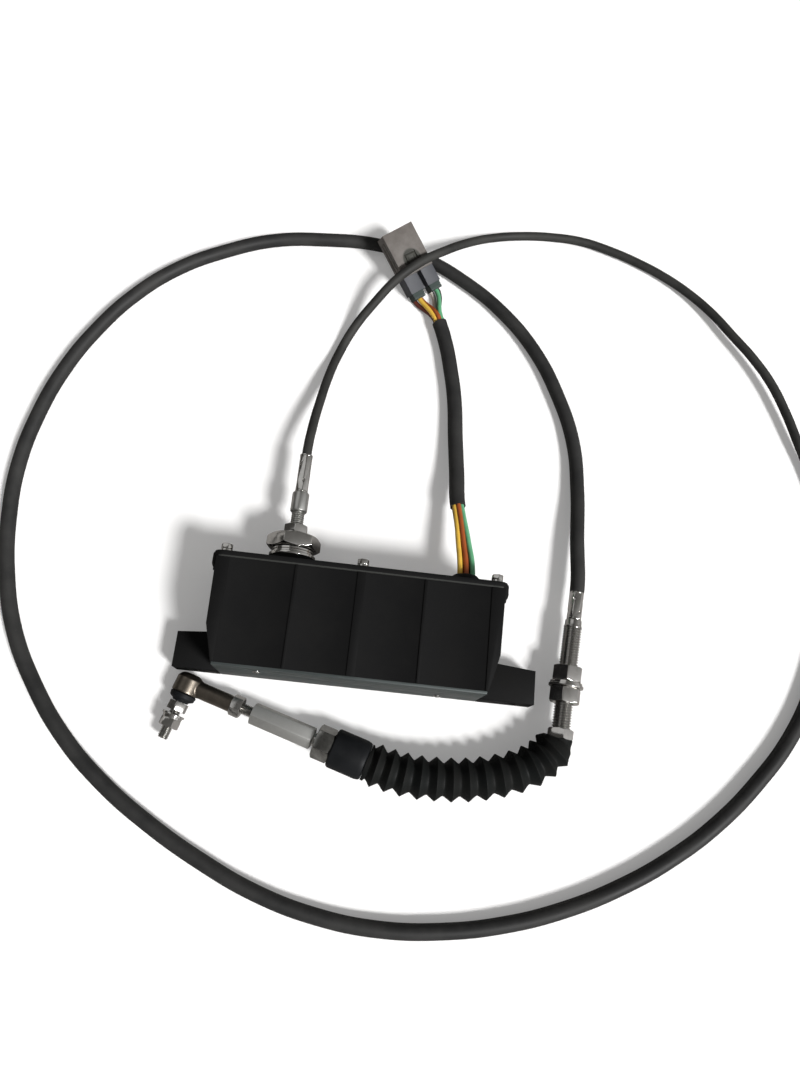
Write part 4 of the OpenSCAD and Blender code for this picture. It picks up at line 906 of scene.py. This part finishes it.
hub = {"radius": 5, "pitch": 1.6, "inside": 29.25, "threadLow": 70, "threadHigh": 84.4,
       "body": 6.5, "bodyLow": 84.25, "bodyHigh": 100.25, "edge": 0.4, "slope": 1, "lip": 0.6}
hubStem = turned("hubStem", [
    (0, hub["inside"]), (hub["radius"] - hub["edge"], hub["inside"]),
    (hub["radius"], hub["inside"] + hub["edge"]), (hub["radius"], hub["threadLow"] + 0.5),
    (0, hub["threadLow"] + 0.5)], 40)
hubThread = threaded("hubThread", hub["radius"], hub["pitch"], hub["threadLow"],
                     hub["threadHigh"])
hubBody = turned("hubBody", [
    (0, hub["bodyLow"]), (hub["body"] - hub["slope"], hub["bodyLow"]),
    (hub["body"], hub["bodyLow"] + hub["slope"]), (hub["body"], hub["bodyHigh"] - hub["lip"]),
    (hub["body"] - hub["lip"], hub["bodyHigh"]), (0, hub["bodyHigh"])])
softEdges(hubBody, 0.15)
smoothBy(hubBody)
seat(placeAt(joined([hubStem, hubThread, hubBody], "cableHub"), glandAt(0)), "base", "steel",
     ["cable_hub"], hubSteel)
seat(crimpedFerrule("hubFerrule", 10, 32, glandAt(hub["bodyHigh"]), 10), "base", "zinc",
     ["hub_ferrule"])
seat(crimpedFerrule("engineFerrule", 11, 22.5, engineAt(0), 0), "base", "zinc",
     ["engine_ferrule"])

fitting = {"radius": 7, "pitch": 2, "neck": 6.3, "neckLow": 22.5, "shoulder": 6.9,
           "shoulderLow": 27.7, "threadLow": 28.5, "edge": 0.7}
neck = turned("tubeNeck", [
    (0, fitting["neckLow"]), (fitting["neck"] - fitting["edge"], fitting["neckLow"]),
    (fitting["neck"], fitting["neckLow"] + fitting["edge"]),
    (fitting["neck"], fitting["shoulderLow"] - 0.5), (fitting["shoulder"], fitting["shoulderLow"]),
    (fitting["shoulder"], fitting["threadLow"] + 0.4), (0, fitting["threadLow"] + 0.4)])
softEdges(neck, 0.2)
smoothBy(neck)
tubeThread = threaded("tubeThread", fitting["radius"], fitting["pitch"], fitting["threadLow"],
                      engine["length"])
seat(placeAt(joined([neck, tubeThread], "threadedTube"), engineAt(0)), "base", "steel",
     ["threaded_tube"])
fixing = {"flats": 21, "bore": 7.05, "high": 11.95, "lowAndRoll": ((59.05, -15), (75, -7))}
nuts = joined([hexNut("fixingNut", fixing["flats"], low, low + fixing["high"], fixing["bore"], roll)
               for low, roll in fixing["lowAndRoll"]], "fixingNuts")
seat(placeAt(nuts, engineAt(0)), "base", "zinc", ["fixing_nuts"])
for node, width in {"fixing_washers": 0.3, "end_nut": 0.25}.items():
    seat(dressed(node, plainName(node), width), "base", "zinc", [node])
print("fittings threaded")


# Bellows: turned straight, then bent along the route of its folds

bellows = {"crown": 15.5, "root": 11.4, "mouth": 9.5, "mouthLong": 3, "crownFlat": 0.14,
           "wall": 1.1}


def bellowsPath():
    z = engine["end"].z
    points = [engine["end"]] + [Vector((x, y, z)) for x, y in foldRoute] + [rod["start"]]
    path = curveThrough("bellowsPath", points, 0, engineDir, rodDir, 24)
    path.data.twist_mode = 'Z_UP'
    stations = [0.0]
    for a, b in zip(points, points[1:]):
        stations.append(stations[-1] + (b - a).length)
    stretch = path.data.splines[0].calc_length() / mm / stations[-1]
    return path, [s * stretch for s in stations]


foldPath, foldStations = bellowsPath()
crowns = foldStations[1:-1]
lastStation = foldStations[-1]
outline = [(bellows["mouth"] - 1.6, 0), (bellows["mouth"], 0), (bellows["mouth"], 2.2)]
for index, crown in enumerate(crowns):
    before = bellows["mouthLong"] if index == 0 else (crowns[index - 1] + crown) / 2
    after = (crown + crowns[index + 1]) / 2 if index + 1 < len(crowns) else crown + 4.6
    rise, fall = crown - before, after - crown
    root = bellows["root"]
    if index == 0:
        outline += [(root - 1.2, before)]
    high = bellows["crown"]
    outline += [(root + 0.06 * (high - root), crown - 0.88 * rise),
                (root + 0.4 * (high - root), crown - 0.56 * rise),
                (high - 0.1, crown - 2 * bellows["crownFlat"]),
                (high, crown - bellows["crownFlat"]), (high, crown + bellows["crownFlat"]),
                (high - 0.1, crown + 2 * bellows["crownFlat"]),
                (root + 0.4 * (high - root), crown + 0.56 * fall),
                (root + 0.06 * (high - root), crown + 0.88 * fall), (root, after)]
outline += [(13.2, lastStation - 1.5), (13.2, lastStation), (9, lastStation)]
folds = turned("foldedBellows", outline, 72)
applyModifier(folds, 'SOLIDIFY', thickness=bellows["wall"] * mm, offset=-1)
placeAt(folds, Matrix.Rotation(math.radians(90), 4, 'Y'))
applyModifier(folds, 'CURVE', object=foldPath, deform_axis='POS_X')
smoothBy(folds, 42)
coat(folds, "rubber", bellowsSkin)
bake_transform(folds)
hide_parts("bellows")

inner = {"radius": 1.5, "back": 10, "on": 5, "steps": 40}
innerOutline = [(0, -inner["back"]), (inner["radius"], -inner["back"])]
innerOutline += [(inner["radius"], lastStation * step / inner["steps"])
                 for step in range(inner["steps"] + 1)]
innerOutline += [(inner["radius"], lastStation + inner["on"]), (0, lastStation + inner["on"])]
innerWire = turned("innerWire", innerOutline, 16)
placeAt(innerWire, Matrix.Rotation(math.radians(90), 4, 'Y'))
applyModifier(innerWire, 'CURVE', object=foldPath, deform_axis='POS_X')
smoothBy(innerWire)
coat(innerWire, "steel")
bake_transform(innerWire)
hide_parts("core_wire")
bpy.data.objects.remove(foldPath)
print("bellows folded")


# Rod, coupling and ball joint

rodEdges = {"pull_rod": (0.2, "steel", None), "collar_nut": (0.3, "zinc", shadedNickel),
            "hex_coupling": (0.3, "zinc", satin), "jam_nut": (0.3, "steel", None)}
for node, (width, slot, look) in rodEdges.items():
    seat(dressed(node, plainName(node), width), "rod", slot, [node], look)

cuff = {"bore": 5.1, "low": 0.3, "radius": 14.3, "high": 27}
collar = turned("collar", [
    (cuff["bore"], cuff["low"]), (cuff["radius"] - 1.7, cuff["low"]),
    (cuff["radius"] - 0.9, cuff["low"] + 0.6), (cuff["radius"] - 0.4, cuff["low"] + 1.9),
    (cuff["radius"], cuff["low"] + 3.9), (cuff["radius"], cuff["high"] - 1.8),
    (cuff["radius"] - 0.4, cuff["high"] - 0.7), (cuff["radius"] - 1.5, cuff["high"]),
    (cuff["bore"], cuff["high"]), (cuff["bore"], cuff["low"])], 64)
softEdges(collar, 0.35, 3)
smoothBy(collar, 40)
seat(placeAt(collar, rodAt(0)), "rod", "rubber", ["bellows_collar"])

stud = {"ball": 6.5, "neck": 3.5, "hexLow": 13.5, "hexHigh": 20, "radius": 4, "pitch": 1.25,
        "tip": 41, "couplingLow": 78.5, "couplingHigh": 119}
couplingStud = threaded("couplingStud", stud["radius"], stud["pitch"], stud["couplingLow"],
                        stud["couplingHigh"])
seat(placeAt(couplingStud, rodAt(0)), "rod", "steel", ["coupling_stud"])

ballHead = dressed("ball_housing", "ballHead", 0.0)
applyModifier(ballHead, 'REMESH', mode='VOXEL', voxel_size=0.42 * mm, use_smooth_shade=True)
applyModifier(ballHead, 'SMOOTH', factor=0.5, iterations=10)
editPoints(ballHead, lambda place: (place / mm - ballCentre).dot(studDir) < -4.5)
bpy.ops.mesh.vertices_smooth(factor=0.5, repeat=90)
leaveEdit()
seat(ballHead, "rod", "olive_steel", ["ball_housing"])

ballArc = [(stud["ball"] * math.cos(math.radians(a)), stud["ball"] * math.sin(math.radians(a)))
           for a in range(-90, 60, 15)]
ballArc[0] = (0, -stud["ball"])
ball = turned("ball", ballArc + [(stud["neck"], 5.6), (stud["neck"], stud["hexLow"] + 0.2),
                                 (0, stud["hexLow"] + 0.2)], 40)
studHex = hexBar("studHex", 13, stud["hexLow"], stud["hexHigh"], 0, 0.5)
studThread = threaded("studThread", stud["radius"], stud["pitch"], stud["hexHigh"] - 0.3,
                      stud["tip"], 0.07)
ballStud = placeAt(joined([ball, studHex, studThread], "ballStud"), studAt(0))
smoothBy(ballStud, 38)
seat(ballStud, "stud", "steel", ["ball_stud"])
for node, width in {"stud_washers": 0.25, "stud_nut": 0.3}.items():
    seat(dressed(node, plainName(node), width), "stud", "zinc", [node], chrome)

boot = {"low": 6.7, "high": 13.3}
bootOutline = [(3.6, boot["low"] + 1), (8.2, boot["low"] - 0.6), (9.0, boot["low"]),
               (9.7, boot["low"] + 0.5), (9.7, boot["low"] + 1.5), (9.2, boot["low"] + 2.1),
               (9.45, boot["low"] + 2.9), (9.0, boot["low"] + 3.9), (7.7, boot["low"] + 4.6),
               (6.4, boot["low"] + 5.1), (6.1, boot["low"] + 5.6), (5.9, boot["high"]),
               (3.6, boot["high"]), (3.6, boot["low"] + 1)]
dustBoot = turned("dustBoot", bootOutline, 56)
applyModifier(dustBoot, 'SUBSURF', levels=1, render_levels=1)
smoothBy(dustBoot, 60)
placeAt(dustBoot, studAt(0))
coat(dustBoot, "rubber")
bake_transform(dustBoot)
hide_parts("dust_boot")
print("ball joint made")


# Plug and seals

plugBody = dressed("connector_body", "plugBody", 0.9, 32, 3)
latch = {"size": (13, 9.6, 1.2), "middle": (25, 0, 15.2), "margin": 1.8, "step": 0.6,
         "deep": 0.5}
rib = {"size": (30, 0.9, 1.3), "middle": 34, "levels": (5.2, 10.2), "out": 0.1, "soft": 0.3}
tongue = block("latch", latch["size"], latch["middle"])
editFaces(tongue, lambda middle, normal: normal.z > 0.9)
bpy.ops.mesh.inset(thickness=latch["margin"] * mm, depth=0)
bpy.ops.mesh.inset(thickness=latch["step"] * mm, depth=-latch["deep"] * mm)
leaveEdit()
ribs = [block("rib", rib["size"], (rib["middle"], side * (plug["width"] / 2 + rib["out"]), level))
        for side in (-1, 1) for level in rib["levels"]]
for piece in [tongue] + ribs:
    softEdges(piece, rib["soft"])
plugPlace = Matrix.Translation(plug["at"] * mm) @ plugTurn
trim = placeAt(joined([tongue] + ribs, "plugTrim"), plugPlace)
smoothBy(plugBody, 32)
smoothBy(trim, 32)
plugWhole = joined([plugBody, trim], "plugBody")
seat(plugWhole, "base", "connector_grey", ["connector_body"], plugShell())


sealSet = {"size": (0.8, 10.8, 11), "out": 1.6, "level": 7.9, "soft": 2.6, "lips": 4,
           "lip": 1, "grow": 1.07, "first": -5.9}


def wireSeal(side):
    # a rounded block whose lips are drawn out one by one
    v = sealSet
    middle = Vector((-plug["sealOut"] - v["out"], side * lobeSide, v["level"]))
    seal = block("wireSeal", v["size"], middle)
    softEdges(seal, v["soft"], 5, 60)
    for step in range(v["lips"]):
        for grow in (v["grow"], 1 / v["grow"]):
            level = (step * 2 * v["lip"] + v["first"]) * mm
            editFaces(seal, lambda m, n: n.x > 0.9 and m.x > level)
            bpy.ops.mesh.extrude_region_move(
                TRANSFORM_OT_translate={'value': (v["lip"] * mm, 0, 0)})
            bpy.ops.transform.resize(value=(1, grow, grow), center_override=middle * mm)
            leaveEdit()
    smoothBy(seal, 40)
    return seal


seals = placeAt(joined([wireSeal(-1), wireSeal(1)], "wireSeals"), plugPlace)
seat(seals, "base", "seal", ["wire_seals"])
print("plug made")


# Pull wire at the lever, inside the box

pull = {"from": 4.05, "to": 39.25}
span = pull["to"] - pull["from"]
pullOutline = [(0, pull["from"])]
pullOutline += [(inner["radius"], pull["from"] + span * step / 12) for step in range(13)]
pullOutline += [(0, pull["to"])]
pullWire = placeAt(turned("pullWire", pullOutline, 16), glandAt(0))
smoothBy(pullWire)
coat(pullWire, "steel")
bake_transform(pullWire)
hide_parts("pull_wire")


# Floor, light and backdrop

stage = {"size": 8, "below": 0.0003, "lift": 0.2, "sun": 4.2, "softness": 12.3, "fill": 14}
deselectAll()
bpy.ops.mesh.primitive_plane_add(size=stage["size"], location=(0, 0, -stage["below"]))
floor = bpy.context.view_layer.objects.active
floor.name = "floor"
bpy.ops.object.transform_apply(location=True)
floorPaint = Paint("floorPaper")
path = 'ShaderNodeLightPath'
seen = floorPaint.add(path, {}, {}, 'Is Camera Ray')
mirrored = floorPaint.add(path, {}, {}, 'Is Glossy Ray')
lift = stage["lift"]
glow = floorPaint.blend(seen, (0, 0, 0), (lift, lift, lift))
paper = floorPaint.blend(floorPaint.noise(60, 4), (0.8, 0.79, 0.78), (0.82, 0.815, 0.81))
paper = floorPaint.blend(mirrored, paper, (0.3, 0.29, 0.28))
floor.data.materials.append(floorPaint.finish(
    {'Base Color': paper, 'Emission Color': glow},
    {'Roughness': 1.0, 'Specular IOR Level': 0.0, 'Emission Strength': 1.0}))


def lamp(name, kind, place, **settings):
    data = bpy.data.lights.new(name, kind)
    for key, value in settings.items():
        setattr(data, key, value)
    light = bpy.data.objects.new(name, data)
    bpy.context.scene.collection.objects.link(light)
    light.location = place
    light.rotation_mode = 'QUATERNION'
    light.rotation_quaternion = (-Vector(place)).to_track_quat('-Z', 'Y')


# a far, soft key lights the whole floor alike
lamp("keyLight", 'SUN', (2.9, -2.15, 3.6), energy=stage["sun"],
     angle=math.radians(stage["softness"]))
lamp("fillLight", 'AREA', (-2.4, 1.8, 3.4), energy=stage["fill"], size=3)

def studioSky():
    # dark behind and on the left, pale on the right, and white to the eye
    look = {"way": (0.86, -0.5, 0), "dark": (0.25, (0.055, 0.053, 0.05, 1)),
            "mid": (0.6, (0.19, 0.187, 0.18, 1)), "pale": (0.95, (0.6, 0.595, 0.59, 1))}
    world = bpy.data.worlds.new("studio")
    world.use_nodes = True
    bpy.context.scene.world = world
    tree = world.node_tree
    tree.nodes.clear()

    def node(kind, **settings):
        made = tree.nodes.new(kind)
        for key, value in settings.items():
            setattr(made, key, value)
        return made

    direction = node('ShaderNodeTexCoord')
    across = node('ShaderNodeVectorMath', operation='DOT_PRODUCT')
    across.inputs[1].default_value = look["way"]
    half = node('ShaderNodeMath', operation='MULTIPLY_ADD')
    half.inputs[1].default_value = half.inputs[2].default_value = 0.5
    ramp = node('ShaderNodeValToRGB')
    stops = ramp.color_ramp.elements
    stops[0].position, stops[0].color = look["dark"]
    stops[1].position, stops[1].color = look["pale"]
    position, colour = look["mid"]
    stops.new(position).color = colour
    soft = node('ShaderNodeBackground')
    white = node('ShaderNodeBackground')
    white.inputs['Color'].default_value = (1, 1, 1, 1)
    which = node('ShaderNodeMixShader')
    for out, into in ((direction.outputs['Generated'], across.inputs[0]),
                      (across.outputs['Value'], half.inputs[0]),
                      (half.outputs[0], ramp.inputs[0]),
                      (ramp.outputs[0], soft.inputs['Color']),
                      (node('ShaderNodeLightPath').outputs['Is Camera Ray'], which.inputs[0]),
                      (soft.outputs[0], which.inputs[1]),
                      (white.outputs[0], which.inputs[2]),
                      (which.outputs[0], node('ShaderNodeOutputWorld').inputs['Surface'])):
        tree.links.new(out, into)


studioSky()
print("stage lit")
